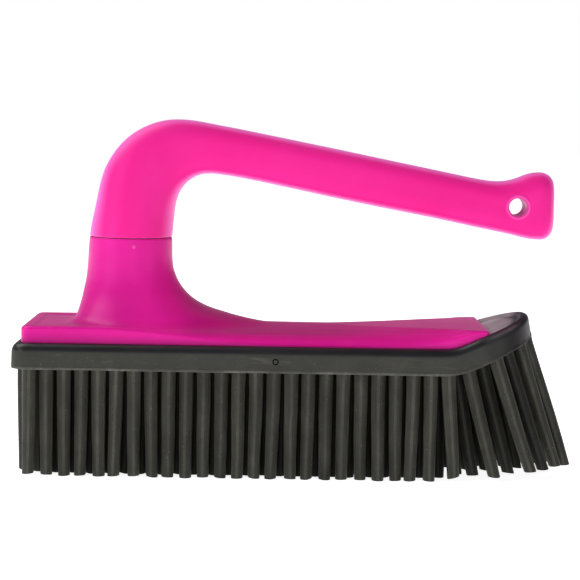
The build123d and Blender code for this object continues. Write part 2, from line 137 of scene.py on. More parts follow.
# ------------------------------------------------------------------ mesh building
class Build:
    """Collects the vertices (mm) and faces of one piece."""

    def __init__(self):
        self.points, self.faces, self.mats, self.count = [], [], [], 0

    def add(self, points):
        """Adds points and returns their indices."""
        points = np.asarray(points, float).reshape(-1, 3)
        self.points.append(points)
        self.count += len(points)
        return np.arange(self.count - len(points), self.count)

    def add_xyz(self, x, y, z):
        return self.add(np.stack(np.broadcast_arrays(x, y, z), 1))

    def face(self, corners, flip=False, mat=0):
        corners = [int(i) for i in corners]
        self.faces.append(corners[::-1] if flip else corners)
        self.mats.append(mat)

    def strip(self, first, second, closed=False, flip=False, mat=0):
        """Quads between two rows of one length; a quad with a shared corner is a triangle."""
        count = len(first)
        for i in range(count if closed else count - 1):
            j = (i + 1) % count
            corners = dict.fromkeys(int(k) for k in (first[i], first[j], second[j], second[i]))
            if len(corners) > 2:
                self.face(corners, flip, mat)

    def grid(self, rows, closed=True, flip=False, mat=0):
        for first, second in zip(rows[:-1], rows[1:]):
            self.strip(first, second, closed, flip, mat)

    def fan(self, ring, centre, flip=False):
        """Adds the centre point and closes the ring with triangles to it."""
        middle = self.add([centre])[0]
        for i in range(len(ring)):
            self.face((ring[i], ring[(i + 1) % len(ring)], middle), flip)

    def fill(self, ring, plan, to_xyz, spacing, flip=False):
        """Fills a closed ring with triangles, with inner points on a grid in plan."""
        plan = np.asarray(plan, float)
        low, high = plan.min(0), plan.max(0)
        grid_x, grid_y = [np.arange(low[k] + spacing * 0.6, high[k] - spacing * 0.4, spacing)
                          for k in (0, 1)]
        x0, y0 = plan.T
        x1, y1 = np.roll(x0, -1), np.roll(y0, -1)
        inner = []
        for x in grid_x:
            for y in grid_y:
                crosses = (y0 > y) != (y1 > y)
                with np.errstate(divide="ignore", invalid="ignore"):
                    cross_x = (x1 - x0) * (y - y0) / (y1 - y0) + x0
                inside = np.count_nonzero(crosses & (x < cross_x)) % 2 == 1
                if inside and np.min(np.hypot(x0 - x, y0 - y)) > spacing * 0.55:
                    inner.append(Vector((x, y)))
        count = len(plan)
        points = [Vector(p) for p in plan] + inner
        edges = [(i, (i + 1) % count) for i in range(count)]
        verts, _, faces, sources, _, _ = delaunay_2d_cdt(points, edges, [], 1, 1e-6)
        index, extra = {}, []
        for k, source in enumerate(sources):
            on_ring = [q for q in source if q < count]
            if on_ring:
                index[k] = int(ring[on_ring[0]])
            else:
                index[k] = self.count + len(extra)
                extra.append(to_xyz(verts[k][0], verts[k][1]))
        if extra:
            self.add(extra)
        for face in faces:
            corners = [index[k] for k in face]
            if len(set(corners)) > 2:
                self.face(corners, flip)

    def object(self, name, materials, sharp=None, attributes={}, lift=LIFT):
        """Makes the object; sharp is the angle in degrees above which edges are creased."""
        verts = (np.concatenate(self.points) + np.array([0.0, 0.0, lift])) * MM
        mesh = bpy.data.meshes.new(name)
        mesh.from_pydata(verts.tolist(), [], self.faces)
        for material in materials:
            mesh.materials.append(material)
        mesh.polygons.foreach_set("material_index", np.array(self.mats, np.int32))
        mesh.polygons.foreach_set("use_smooth", np.ones(len(self.faces), bool))
        mesh.validate()
        mesh.update()
        for key, values in attributes.items():
            attribute = mesh.attributes.new(key, "FLOAT", "POINT")
            attribute.data.foreach_set("value", np.asarray(values, np.float32))
        if sharp is not None:
            mesh.set_sharp_from_angle(angle=math.radians(sharp))
        return link_object(name, mesh)


def link_object(name, data):
    made = bpy.data.objects.new(name, data)
    bpy.context.scene.collection.objects.link(made)
    return made


def register(made, replaced, group):
    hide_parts(replaced)
    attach(made, group)


# ------------------------------------------------------------------ shader nodes
class Shader:
    """The node tree of one material or world, with short calls for the nodes used here."""

    def __init__(self, owner, coord="Object"):
        owner.use_nodes = True
        self.owner, self.tree = owner, owner.node_tree
        self.bsdf = self.tree.nodes.get("Principled BSDF")
        self.coord = self.node("TexCoord").outputs[coord]
        self.normal = None

    def node(self, kind, **settings):
        made = self.tree.nodes.new("ShaderNode" + kind)
        for key, value in settings.items():
            setattr(made, key, value)
        return made

    def plug(self, socket, value):
        """Links a socket to an input, or sets the input's number, vector or colour."""
        if isinstance(value, bpy.types.NodeSocket):
            self.tree.links.new(value, socket)
        elif socket.type == "RGBA":
            socket.default_value = (*value, 1.0)
        else:
            socket.default_value = value

    def feed(self, target, **inputs):
        """Plugs inputs by name, with underscores for spaces."""
        for key, value in inputs.items():
            self.plug(target.inputs[key.replace("_", " ")], value)

    def surface(self, **inputs):
        self.feed(self.bsdf, **inputs)

    def noise(self, scale, detail=3.0, rough=0.5, distort=0.0, stretch=None):
        """Noise on the object's coordinates; stretch scales these along X, Y and Z."""
        coord = self.coord
        if stretch is not None:
            mapping = self.node("Mapping")
            self.feed(mapping, Scale=stretch, Vector=coord)
            coord = mapping.outputs["Vector"]
        made = self.node("TexNoise")
        self.feed(made, Scale=scale, Detail=detail, Roughness=rough, Distortion=distort,
                  Vector=coord)
        return made.outputs["Fac"]

    def ramp(self, value, stops):
        """Colour ramp; stops are (position, colour)."""
        made = self.node("ValToRGB")
        elements = made.color_ramp.elements
        while len(elements) < len(stops):
            elements.new(0.5)
        for element, (position, colour) in zip(elements, stops):
            element.position = position
            element.color = (*colour, 1.0)
        self.feed(made, Fac=value)
        return made.outputs["Color"]

    def remap(self, value, span, to=(0.0, 1.0), smooth=False):
        made = self.node("MapRange", interpolation_type="SMOOTHSTEP" if smooth else "LINEAR")
        self.feed(made, From_Min=span[0], From_Max=span[1], To_Min=to[0], To_Max=to[1],
                  Value=value)
        return made.outputs["Result"]

    def mix(self, share, under, over):
        made = self.node("Mix", data_type="RGBA")
        for k, value in ((0, share), (6, under), (7, over)):
            self.plug(made.inputs[k], value)
        return made.outputs[2]

    def maths(self, operation, *values):
        made = self.node("Math", operation=operation)
        for socket, value in zip(made.inputs, values):
            self.plug(socket, value)
        return made.outputs[0]

    def times(self, first, second):
        return self.maths("MULTIPLY", first, second)

    def invert(self, value):
        return self.maths("SUBTRACT", 1.0, value)

    def attribute(self, name):
        return self.node("Attribute", attribute_name=name).outputs["Fac"]

    def axes(self):
        made = self.node("SeparateXYZ")
        self.tree.links.new(self.coord, made.inputs[0])
        return made.outputs

    def bump(self, height, strength, distance):
        """Adds one bump on top of those before it; distance in metres."""
        made = self.node("Bump")
        self.feed(made, Strength=strength, Distance=distance, Height=height)
        if self.normal is not None:
            self.feed(made, Normal=self.normal)
        self.normal = made.outputs["Normal"]
        self.surface(Normal=self.normal)


def new_shader(name):
    return Shader(bpy.data.materials.new(name))


# ------------------------------------------------------------------ materials
WHITE = (1.0, 1.0, 1.0)
PINK_SHINE = (1.0, 0.30, 0.80)


def skin_shading(s, colour):
    """Painted light on the skin: a paler painted sheen and a faint painted glow where it turns
    away, a painted highlight on the raised lip round the hang hole, and painted shade inside it.
    """
    weight = s.node("LayerWeight")
    s.feed(weight, Blend=0.5)
    turn = weight.outputs["Facing"]
    # painted sheen: paler pink where the skin turns away from the view
    colour = s.mix(s.remap(turn, span=(0.30, 0.90), to=(0.0, 0.75)), colour, (1.0, 0.22, 0.74))
    # painted glow: a faint pink emission where the skin turns away; the plastic is no lamp
    glow = s.remap(turn, span=(0.25, 0.85), to=(0.0, 0.16))
    s.surface(Emission_Color=(1.0, 0.10, 0.50), Emission_Strength=glow)
    axes = s.axes()
    dx = s.maths("SUBTRACT", axes[0], HANG_X * MM)
    dz = s.maths("SUBTRACT", axes[2], (HANG_Z + LIFT) * MM)
    distance = s.maths("SQRT", s.maths("ADD", s.times(dx, dx), s.times(dz, dz)))
    # painted highlight: a paler ring on the hang hole's lip; the raised lip itself is real geometry
    ring_in = s.remap(distance, span=(0.0043, 0.0048))
    ring_out = s.remap(distance, span=(0.0051, 0.0057), to=(1.0, 0.0))
    lip_highlight_share = 0.42
    ring = s.times(s.times(ring_in, ring_out), lip_highlight_share)
    colour = s.mix(ring, colour, (1.0, 0.20, 0.72))
    # painted shade: darker down inside the bore
    bore = s.remap(distance, span=(0.0040, 0.0043), to=(0.65, 0.0))
    return s.mix(bore, colour, (0.30, 0.02, 0.05))


def moulded_plastic(name, shade, colour, light, rough, shine=WHITE, painted_vertex_light=False, velvet=0.0):
    """Satin moulded plastic: slight flow mottling, fine grain and faint rubbing marks. With
    painted_vertex_light, the vertex values "low" and "painted_vertex_light" add painted shade
    and painted highlight; without it, skin_shading adds its painted light."""
    s = new_shader(name)
    flow = s.noise(scale=26, detail=4, rough=0.55, distort=0.6)
    col = s.ramp(flow, [(0.28, shade), (0.5, colour), (0.76, light)])
    fine = s.noise(scale=420, rough=0.6)
    col = s.mix(s.remap(fine, span=(0.35, 0.7), to=(0.0, 0.10)), col, shade)
    pointed = s.node("NewGeometry").outputs["Pointiness"]
    col = s.mix(s.remap(pointed, span=(0.505, 0.56), to=(0.0, 0.35)), col, light)
    if painted_vertex_light:
        # painted shade from the vertex value "low"
        low = s.remap(s.attribute("low"), span=(0.0, 1.0), to=(0.0, 0.55))
        col = s.mix(low, col, (0.30, 0.006, 0.11))
        # painted highlight from the paler vertex value set on the toe edge and the pip
        col = s.mix(s.attribute("painted_vertex_light"), col, (0.95, 0.16, 0.55))
    else:
        # painted sheen, glow, highlight and shade on the skin
        col = skin_shading(s, col)
    rub = s.noise(scale=30, detail=5, rough=0.6, stretch=(1.0, 14.0, 14.0))
    scuff = s.remap(rub, span=(0.52, 0.72), to=(0.0, 0.05))
    patches = s.remap(s.noise(scale=14, detail=4), span=(0.3, 0.7),
                      to=(rough - 0.045, rough + 0.05))
    s.surface(Base_Color=col, Roughness=s.maths("ADD", patches, scuff),
              IOR=1.49, Specular_IOR_Level=0.34, Specular_Tint=shine,
              Sheen_Weight=velvet, Sheen_Roughness=0.45, Sheen_Tint=(1.0, 0.40, 0.86),
              Subsurface_Weight=0.06, Subsurface_Radius=(1.0, 0.25, 0.45),
              Subsurface_Scale=0.0025)
    s.bump(s.noise(scale=2600, rough=0.6), strength=0.055, distance=0.0002)
    s.bump(s.noise(scale=75), strength=0.05, distance=0.0004)
    s.bump(rub, strength=0.008, distance=0.0002)
    return s.owner


def bristle_colour(s, col, dark, dusty, outer):
    """Tone of each bristle, streaks and patches along it, and painted shade, near black, inside the
    tuft.
    """
    tone_share = 0.75
    col = s.mix(s.times(s.attribute("tone"), tone_share), col, dusty)
    streak = s.noise(scale=300, rough=0.6, stretch=(1.0, 1.0, 0.10))
    col = s.mix(s.remap(streak, span=(0.44, 0.62), to=(0.0, 0.60)), col, dark)
    patch = s.noise(scale=120, rough=0.6, stretch=(1.0, 1.0, 0.35))
    col = s.mix(s.remap(patch, span=(0.52, 0.70), to=(0.0, 0.45)), col, dark)
    # painted shade: the lower a bristle's outer value, the nearer black it is painted
    inside = s.remap(outer, span=(0.0, 1.0), to=(0.88, 0.0))
    return s.mix(inside, col, (0.004, 0.004, 0.004))


def head_look(s, col, rough, scratch, bead_and_shade):
    """Smooth black bead, rub marks on the skirt, painted shade at the toe and in the vent mark, and
    painted reflection and highlight in grey at the toe; returns colour and roughness.
    """
    smear = s.remap(s.noise(scale=70, detail=4, rough=0.6, stretch=(0.35, 1.0, 1.0)),
                    span=(0.50, 0.75), to=(0.0, 0.30))
    black = s.mix(smear, (0.0105, 0.0098, 0.0128), (0.031, 0.031, 0.037))
    dull = s.invert(bead_and_shade)
    # black where the bead value is set: the bead's own smooth rubber, and painted shade at the toe
    # and in the vent mark
    col = s.mix(bead_and_shade, col, black)
    gloss = s.remap(scratch, span=(0.35, 0.70), to=(0.34, 0.40))
    rubs = s.noise(scale=260, rough=0.6, distort=0.3, stretch=(0.16, 1.0, 1.6))
    rubs = s.remap(rubs, span=(0.62, 0.72), to=(0.0, 0.35))
    col = s.mix(s.times(rubs, dull), col, (0.12, 0.12, 0.105))
    # painted reflection and highlight at the toe: a clouded pale grey on the web and bead
    reflection_share = s.attribute("painted_reflection")
    cloud = s.remap(s.noise(scale=60, detail=4, rough=0.6, distort=0.3, stretch=(0.6, 1.0, 1.0)),
                    span=(0.35, 0.65), to=(0.55, 1.0))
    col = s.mix(s.times(reflection_share, cloud), col, (0.50, 0.46, 0.485))
    plain = s.times(rough, s.invert(bead_and_shade))
    return col, s.maths("ADD", plain, s.times(gloss, bead_and_shade))


def moulded_rubber(name, dark, mid, dusty, rough, dust, kind="plain"):
    """Matt rubber: uneven bloom, pale dust specks, slightly pitted skin. Kinds "head" and "flash"
    read the vertex value "bead_and_shade" (1 is smooth black: the bead, and painted shade at the
    toe and in the vent mark), and "head" also "painted_reflection", a painted reflection and
    highlight; "bristle" reads "tone" and "outer"."""
    s = new_shader(name)
    bloom = s.noise(scale=55, detail=5, rough=0.62, distort=0.4)
    col = s.ramp(bloom, [(0.30, dark), (0.55, mid), (0.80, dusty)])
    fine = s.noise(scale=520, detail=4, rough=0.65)
    col = s.mix(s.remap(fine, span=(0.40, 0.66), to=(0.0, 0.55)), col, dark)
    roughness = s.remap(s.noise(scale=90, detail=4, rough=0.6), span=(0.3, 0.7),
                        to=(rough - 0.09, rough + 0.10))
    if kind == "bristle":
        outer = s.attribute("outer")
        col = bristle_colour(s, col, dark, dusty, outer)
    specks = s.remap(s.noise(scale=1500, detail=2), span=(0.70, 0.78), to=(0.0, dust))
    if kind == "bristle":
        specks = s.times(specks, outer)
    col = s.mix(specks, col, (0.30, 0.30, 0.27))
    scratch = s.noise(scale=420, detail=2, stretch=(0.25, 1.0, 1.0))
    s.surface(IOR=1.50, Specular_IOR_Level=0.36, Specular_Tint=(1.0, 1.0, 0.93))
    if kind == "flash":
        # painted shade: the flash darkens towards the toe
        col = s.mix(s.attribute("bead_and_shade"), col, (0.014, 0.014, 0.016))
    if kind == "head":
        bead_and_shade = s.attribute("bead_and_shade")
        col, roughness = head_look(s, col, roughness, scratch, bead_and_shade)
        s.surface(Specular_IOR_Level=s.remap(bead_and_shade, span=(0.0, 1.0), to=(0.36, 0.44)))
    if kind == "bristle":
        s.surface(Specular_IOR_Level=s.remap(outer, span=(0.0, 0.6), to=(0.03, 0.36)))
    s.surface(Base_Color=col, Roughness=roughness)
    s.bump(s.noise(scale=900, detail=4, rough=0.65), strength=0.10, distance=0.0003)
    s.bump(s.noise(scale=160), strength=0.12, distance=0.0006)
    s.bump(scratch, strength=0.02, distance=0.0002)
    return s.owner


def metal(name, colour, rough):
    """Mottled metal with fine level lines."""
    s = new_shader(name)
    mottle = s.noise(scale=140, detail=4, rough=0.6)
    shade = tuple(c * 0.82 for c in colour)
    s.surface(Base_Color=s.ramp(mottle, [(0.3, shade), (0.7, colour)]), Metallic=1.0)
    lines = s.noise(scale=300, rough=0.6, stretch=(1.0, 1.0, 12.0))
    s.surface(Roughness=s.remap(lines, span=(0.3, 0.7), to=(rough - 0.08, rough + 0.12)))
    s.bump(lines, strength=0.12, distance=0.0002)
    return s.owner


MAT_GRIP = moulded_plastic(
    "grip_magenta", shade=(0.91, 0.013, 0.275), colour=(0.955, 0.017, 0.30),
    light=(0.975, 0.026, 0.345), rough=0.36, shine=PINK_SHINE, velvet=0.50)
MAT_BASE = moulded_plastic(
    "base_magenta", shade=(0.75, 0.010, 0.295), colour=(0.82, 0.013, 0.325),
    light=(0.88, 0.02, 0.365), rough=0.31, shine=PINK_SHINE, painted_vertex_light=True, velvet=0.10)
MAT_RUBBER = moulded_rubber(
    "head_rubber", dark=(0.024, 0.0244, 0.020), mid=(0.035, 0.0354, 0.029),
    dusty=(0.050, 0.050, 0.041), rough=0.56, dust=0.35, kind="head")
MAT_BRISTLE = moulded_rubber(
    "bristle_rubber", dark=(0.0065, 0.0065, 0.0050), mid=(0.0175, 0.0175, 0.0135),
    dusty=(0.044, 0.044, 0.034), rough=0.60, dust=0.55, kind="bristle")
# paler rubber for the bristles' cut corners: a painted highlight along each corner line
MAT_CORNER_HIGHLIGHT = moulded_rubber(
    "bristle_corner", dark=(0.018, 0.018, 0.0140), mid=(0.044, 0.044, 0.034),
    dusty=(0.082, 0.082, 0.065), rough=0.54, dust=0.7, kind="bristle")
# parting flash: the lip is real geometry; its pale grey is a painted highlight along the skirt's
# lower edge
MAT_FLASH = moulded_rubber(
    "parting_flash", dark=(0.045, 0.045, 0.038), mid=(0.10, 0.10, 0.085),
    dusty=(0.22, 0.22, 0.19), rough=0.55, dust=0.8, kind="flash")

# ------------------------------------------------------------------ grip halves
# Stations from the neck to the closed end: outer line x, z; inner line x, z;
# half depth across Y; squareness of the oval section (2 is an ellipse).
GRIP = np.array([
    (-92.95, 104.0, -55.45, 104.0, 18.75, 2.00),
    (-92.16, 109.6, -55.00, 110.0, 18.45, 2.05),
    (-91.05, 115.1, -54.55, 115.0, 18.00, 2.12),
    (-89.93, 120.6, -54.05, 118.6, 17.40, 2.20),
    (-88.60, 127.2, -53.30, 121.6, 16.70, 2.30),
    (-86.41, 134.5, -52.46, 124.0, 15.90, 2.40),
    (-82.30, 141.9, -51.30, 126.1, 15.10, 2.50),
    (-76.61, 148.4, -50.15, 127.6, 14.30, 2.60),
    (-68.30, 153.9, -48.80, 129.0, 13.40, 2.75),
    (-59.20, 156.9, -47.20, 130.3, 12.70, 2.90),
    (-51.38, 157.4, -45.20, 131.5, 12.10, 3.00),
    (-43.86, 156.7, -42.40, 132.6, 11.60, 3.10),
    (-36.37, 155.4, -38.30, 133.0, 11.25, 3.20),
    (-28.89, 154.1, -32.23, 132.5, 11.05, 3.20),
    (-13.92, 151.35, -17.87, 130.15, 11.0, 3.20),
    (23.43, 144.25, 19.31, 122.75, 11.0, 3.20),
    (53.21, 138.47, 49.18, 117.16, 11.0, 3.20),
    (75.64, 134.10, 72.20, 112.80, 11.0, 3.20),
    (85.50, 132.30, 84.00, 110.40, 11.0, 3.20),
    (94.46, 131.80, 94.20, 108.45, 11.0, 3.20),
    (101.30, 133.35, 101.50, 106.85, 11.0, 3.20),
    (107.40, 135.60, 107.60, 105.60, 11.0, 3.20),
    (113.10, 136.10, 113.10, 105.35, 11.0, 3.20),
])
# distance along the grip: the mean of the outer and inner lines' lengths
GRIP_AT = 0.5 * path_length(GRIP[:, 0], GRIP[:, 1]) + 0.5 * path_length(GRIP[:, 2], GRIP[:, 3])
GRIP_LEN = GRIP_AT[-1] - 1.2
END_DEPTH = GRIP[-1, 4]
END_R = 6.0         # rounding of the closed end
LIP_R = 0.55        # rounding at the neck end
WALL = 2.8
LEVEL_BELOW = 5     # sections nearer the neck than this lie level
HALF_COUNT = 45     # points round half a section
SEAM_HALF, SEAM_DEEP = 0.10, 0.16
HANG_R, HANG_RIM, BOSS_R = 4.0, 1.75, 6.6
# mouth of the hang hole, a low raised lip rolled into the bore: radius, height above the skin
MOUTH = ((5.58, 0.08), (5.36, 0.20), (5.12, 0.27), (4.88, 0.24), (4.64, 0.10), (4.42, -0.14),
         (4.22, -0.48), (4.08, -0.88), (4.0, -1.35))
# bore wall and contact face at the middle: distance from y = 0, radius
BORE = ((4.5, HANG_R), (0.35, HANG_R), (0.12, HANG_R + 0.14), (0.02, HANG_R + 0.5),
        (0.02, BOSS_R))


def half_oval(half_width, half_depth, squareness):
    """Points from (-half_width, 0) round the -y side to (half_width, 0), evenly spaced."""
    angle = np.linspace(0, pi, 721)
    cos, sin = np.cos(angle), np.sin(angle)
    x = -np.sign(cos) * np.abs(cos) ** (2 / squareness) * half_width
    y = -np.abs(sin) ** (2 / squareness) * half_depth
    length = path_length(x, y)
    even = np.linspace(0, length[-1], HALF_COUNT)
    return np.interp(even, length, x), np.interp(even, length, y)


def grip_row(at, inset, beyond, side):
    """Half section at a distance along the grip, pulled in by inset and moved on by beyond."""
    outer_x, outer_z, inner_x, inner_z, depth, squareness = [
        float(natural_spline(GRIP_AT, GRIP[:, k], np.array([at]))[0]) for k in range(6)]
    width = math.hypot(inner_x - outer_x, inner_z - outer_z)
    across_x, across_z = (inner_x - outer_x) / width, (inner_z - outer_z) / width
    if at < LEVEL_BELOW:
        across_x, across_z = 1.0, 0.0
    centre_x = (outer_x + inner_x) / 2 - across_z * beyond
    centre_z = (outer_z + inner_z) / 2 + across_x * beyond
    half_depth = max(depth - inset, 0.0)
    across, y = half_oval(max(width / 2 - inset, 0.4), half_depth, squareness)
    if half_depth > 0.5:
        y[0] = y[-1] = -SEAM_HALF
    return np.stack([centre_x + across * across_x, -side * y, centre_z + across * across_z], 1)


def grip_rows(side, wall):
    """Rows of the outer (wall = 0) or inner skin, from the neck to the closed end."""
    rows, start = [], 0.0
    if wall == 0:
        start = LIP_R
        for turn in np.radians(np.linspace(0, 90, 6)[:-1]):
            rows.append((LIP_R * (1 - math.cos(turn)), LIP_R * (1 - math.sin(turn)), 0.0))
    for at in (*np.linspace(start, 14, 12)[:-1], *np.linspace(14, GRIP_LEN - 0.01, 168)):
        rows.append((at, wall, 0.0))
    end = END_R - wall
    for turn in np.radians(np.linspace(0, 90, 11)[1:]):
        rows.append((GRIP_LEN, wall + end * (1 - math.cos(turn)), end * math.sin(turn)))
    for k in (0.3, 0.62, 0.9):
        rows.append((GRIP_LEN, END_R + (END_DEPTH - END_R) * k, end + 0.06 * k))
    return np.array([grip_row(*row, side) for row in rows])


def quartic_terms(x, z):
    """All products of x and z up to the fourth degree."""
    return np.stack([x ** (degree - j) * z ** j for degree in range(5)
                     for j in range(degree + 1)], 1)


def patch_hole(build, points, index, radius, half, flip):
    """Joins a square gap of the given half width round the hang hole to a circle.

    Returns the circle's vertices, angles and y, and the gap's first and last rows and columns."""
    x, z = points[:, :, 0] - HANG_X, points[:, :, 2] - HANG_Z
    inside = (np.abs(x) < half) & (np.abs(z) < half)
    row0, row1 = np.where(inside.any(1))[0][[0, -1]]
    col0, col1 = np.where(inside.any(0))[0][[0, -1]]
    border = ([(row0, k) for k in range(col0, col1)] + [(i, col1) for i in range(row0, row1)]
              + [(row1, k) for k in range(col1, col0, -1)]
              + [(i, col0) for i in range(row1, row0, -1)])
    # a smooth surface y(x, z) fitted to the removed part
    gap = np.s_[row0:row1 + 1, col0:col1 + 1]
    fit, *_ = np.linalg.lstsq(quartic_terms(x[gap].ravel(), z[gap].ravel()),
                              points[gap][:, :, 1].ravel(), rcond=None)
    rows, cols = np.array(border).T
    border_x, border_z = x[rows, cols], z[rows, cols]
    misfit = points[rows, cols, 1] - quartic_terms(border_x, border_z) @ fit
    angle = np.unwrap(np.arctan2(border_z, border_x))
    even = np.linspace(angle[0], angle[0] + 2 * pi, len(angle) + 1)[:-1]
    angle = even * 0.75 + angle * 0.25
    circle_x, circle_z = radius * np.cos(angle), radius * np.sin(angle)
    rings = [np.array([index[i][k] for i, k in border])]
    steps = 5
    for j in range(1, steps + 1):
        t = j / steps
        ring_x = border_x * (1 - t) + circle_x * t
        ring_z = border_z * (1 - t) + circle_z * t
        y = quartic_terms(ring_x, ring_z) @ fit + misfit * (1 - t)
        rings.append(build.add_xyz(ring_x + HANG_X, y, ring_z + HANG_Z))
    build.grid(rings, flip=flip)
    return rings[-1], angle, y, (row0, row1, col0, col1)


def grid_with_gap(build, index, gap, flip):
    row0, row1, col0, col1 = gap
    for i in range(len(index) - 1):
        for k in range(len(index[0]) - 1):
            if not (row0 <= i < row1 and col0 <= k < col1):
                build.face((index[i][k], index[i][k + 1], index[i + 1][k + 1], index[i + 1][k]),
                           flip)


def zip_rings(build, first, first_angle, second, second_angle, flip):
    """Joins two closed rings of different counts, both going round by rising angle."""
    def from_zero(ring, angle):
        angle = angle % (2 * pi)
        start = int(np.argmin(angle))
        angle = np.roll(angle, -start)
        return np.roll(ring, -start), np.append(angle, angle[0] + 2 * pi)
    first, angle1 = from_zero(first, first_angle)
    second, angle2 = from_zero(second, second_angle)
    count1, count2 = len(first), len(second)
    i = j = 0
    while i < count1 or j < count2:
        here, there = first[i % count1], second[j % count2]
        if j >= count2 or (i < count1 and angle1[i + 1] <= angle2[j + 1]):
            i += 1
            build.face((here, first[i % count1], there), flip)
        else:
            j += 1
            build.face((here, second[j % count2], there), flip)


def hang_bore(build, ring, angle, skin_y, side, flip):
    """Lip, bore and contact face of the hang hole; returns the innermost ring."""
    rings = [ring]
    cos, sin = np.cos(angle), np.sin(angle)
    for radius, out in MOUTH:
        level = min(1.0, max(0.0, 5.0 - radius))
        y = (skin_y * (1 - level) + np.mean(skin_y) * level) + side * out
        rings.append(build.add_xyz(HANG_X + radius * cos, y, HANG_Z + radius * sin))
    for y, radius in BORE:
        rings.append(build.add_xyz(HANG_X + radius * cos, side * y, HANG_Z + radius * sin))
    build.grid(rings, flip=flip)
    return rings[-1]


def grip_half(side):
    """side -1: near half (y < 0), +1: far half."""
    build = Build()
    flip = side > 0
    outer, inner = grip_rows(side, 0.0), grip_rows(side, WALL)
    outer_ids = [build.add(row) for row in outer]
    inner_ids = [build.add(row) for row in inner]
    ring, angle, skin_y, gap = patch_hole(build, outer, outer_ids, HANG_R + HANG_RIM, 7.4, flip)
    boss, boss_angle, _, boss_gap = patch_hole(build, inner, inner_ids, BOSS_R, 8.6, not flip)
    grid_with_gap(build, outer_ids, gap, flip)
    grid_with_gap(build, inner_ids, boss_gap, not flip)
    contact = hang_bore(build, ring, angle, skin_y, side, flip)
    zip_rings(build, contact, angle, boss, boss_angle, flip)
    # seam faces: a small step inwards from the skin, then across the wall
    for k in (0, HALF_COUNT - 1):
        inwards = outer.mean(1) - outer[:, k]
        inwards[:, 1] = 0
        length = np.linalg.norm(inwards, axis=1, keepdims=True)
        step = outer[:, k].copy()
        step[:, 1] = side * 0.01
        step_ids = build.add(step + inwards / np.maximum(length, 1e-6) * SEAM_DEEP)
        seam_flip = (k == 0) != flip
        build.strip([row[k] for row in outer_ids], step_ids, flip=seam_flip)
        # the outer skin's extra lip rows all join the inner skin's first row
        inner_edge = [row[k] for row in inner_ids]
        extra = len(step_ids) - len(inner_edge)
        build.strip(step_ids, inner_edge[:1] * extra + inner_edge, flip=seam_flip)
    build.strip(outer_ids[0], inner_ids[0], flip=not flip)
    return build


for half, side in (("near", -1), ("far", 1)):
    grip = grip_half(side).object("grip_half_" + half, [MAT_GRIP])
    register(grip, "grip_shell_" + half, "grip")

# ------------------------------------------------------------------ base: neck, flare and plate
SWIVEL_X = -74.2
PLATE_HEEL, PLATE_TOE, PLATE_HALF = -120.5, 87.0, 33.5
PLATE_TOP = 65.5
HEEL_CORNER, TOE_CORNER = 4.2, 1.6
TOE_RISE_X = 72.0      # the plate's underside rises from here
HEAD_Z = 46.5          # underside of the rubber head
# neck sections: z, heel side x, toe side x, half width, squareness at heel and at toe
NECK = np.array([
    (103.7, -92.95, -55.45, 18.75, 2.0, 2.0),
    (100.0, -93.30, -55.30, 18.85, 2.0, 2.0),
    (95.8, -93.54, -55.26, 19.0, 2.0, 2.0),
    (90.3, -93.86, -54.75, 19.3, 2.0, 2.05),
    (84.8, -94.44, -52.88, 20.2, 2.0, 2.2),
    (79.6, -95.50, -49.50, 22.0, 2.05, 2.4),
    (75.5, -96.40, -45.10, 24.2, 2.1, 2.5),
    (72.0, -97.30, -38.60, 26.4, 2.2, 2.45),
    (69.2, -98.10, -29.30, 28.2, 2.3, 2.2),
    (66.8, -98.80, -18.60, 29.6, 2.4, 1.85),
    (65.2, -99.20, -9.00, 30.3, 2.45, 1.6),
    (62.0, -99.80, 2.00, 30.8, 2.5, 1.5),
    (58.0, -100.4, 8.00, 31.2, 2.6, 1.5),
])
NECK_TOP = NECK[0, 0]
NECK_LIP = 0.45
NECK_LEVELS = np.concatenate([np.linspace(103.1, 92, 14)[:-1], np.linspace(92, 58.2, 110)])
# socket down the middle of the neck, from its floor up: radius, z
SOCKET = ((14.6, 62.0), (14.6, 92.0), (14.0, 92.7), (6.35, 92.7), (6.05, 93.0), (6.05, 97.4),
          (6.4, 97.7), (14.3, 97.7), (14.5, 97.9), (14.5, 103.4), (14.9, NECK_TOP))
# x, half width of the plate's flat top
TOP_WIDTH = [(-125, 33.2), (-96, 33.0), (-80, 30.5), (-60, 23.0), (-40, 12.0), (-20, 3.0),
             (0, 0.4), (14, 0.4), (30, 7.6), (50, 16.6), (70, 25.6), (84, 32.3), (92, 33.3)]
# x, z of the plate's long edges
EDGE_Z = [(-125, 65.4), (-96, 65.4), (-86, 65.1), (-67, 64.0), (-49, 62.9), (-34, 62.2),
          (-12, 61.6), (14, 61.2), (50, 61.0), (72, 61.4), (80, 62.9), (86, 65.1), (92, 65.3)]
# x, rounding of the plate's edge: crisp at the ends, broad along the waist
EDGE_R = [(-125, 2.3), (-118, 2.2), (-100, 1.7), (-82, 1.7), (-58, 2.4), (-34, 4.6), (6, 9.0),
          (50, 8.4), (70, 4.6), (81, 1.8), (86, 0.9), (90, 0.8)]
# x, z where the painted shade on the side wall starts
DARK_TOP = [(-125, 63.9), (-96, 63.0), (-50, 61.2), (14, 59.0), (60, 59.6), (80, 61.4),
            (90, 63.0)]
RAY_ROWS = 150
RAY_STEP = 0.25
SOFTEN = 2.6 / RAY_STEP     # width, in steps, of the bell that softens the neck's foot
_reach = int(3 * SOFTEN)
BELL = np.exp(-0.5 * (np.arange(-_reach, _reach + 1) / SOFTEN) ** 2)
BELL /= BELL.sum()
PIP = (-71.6, -18.60, 100.2)
PIP_R, PIP_HEIGHT = 0.95, 0.42


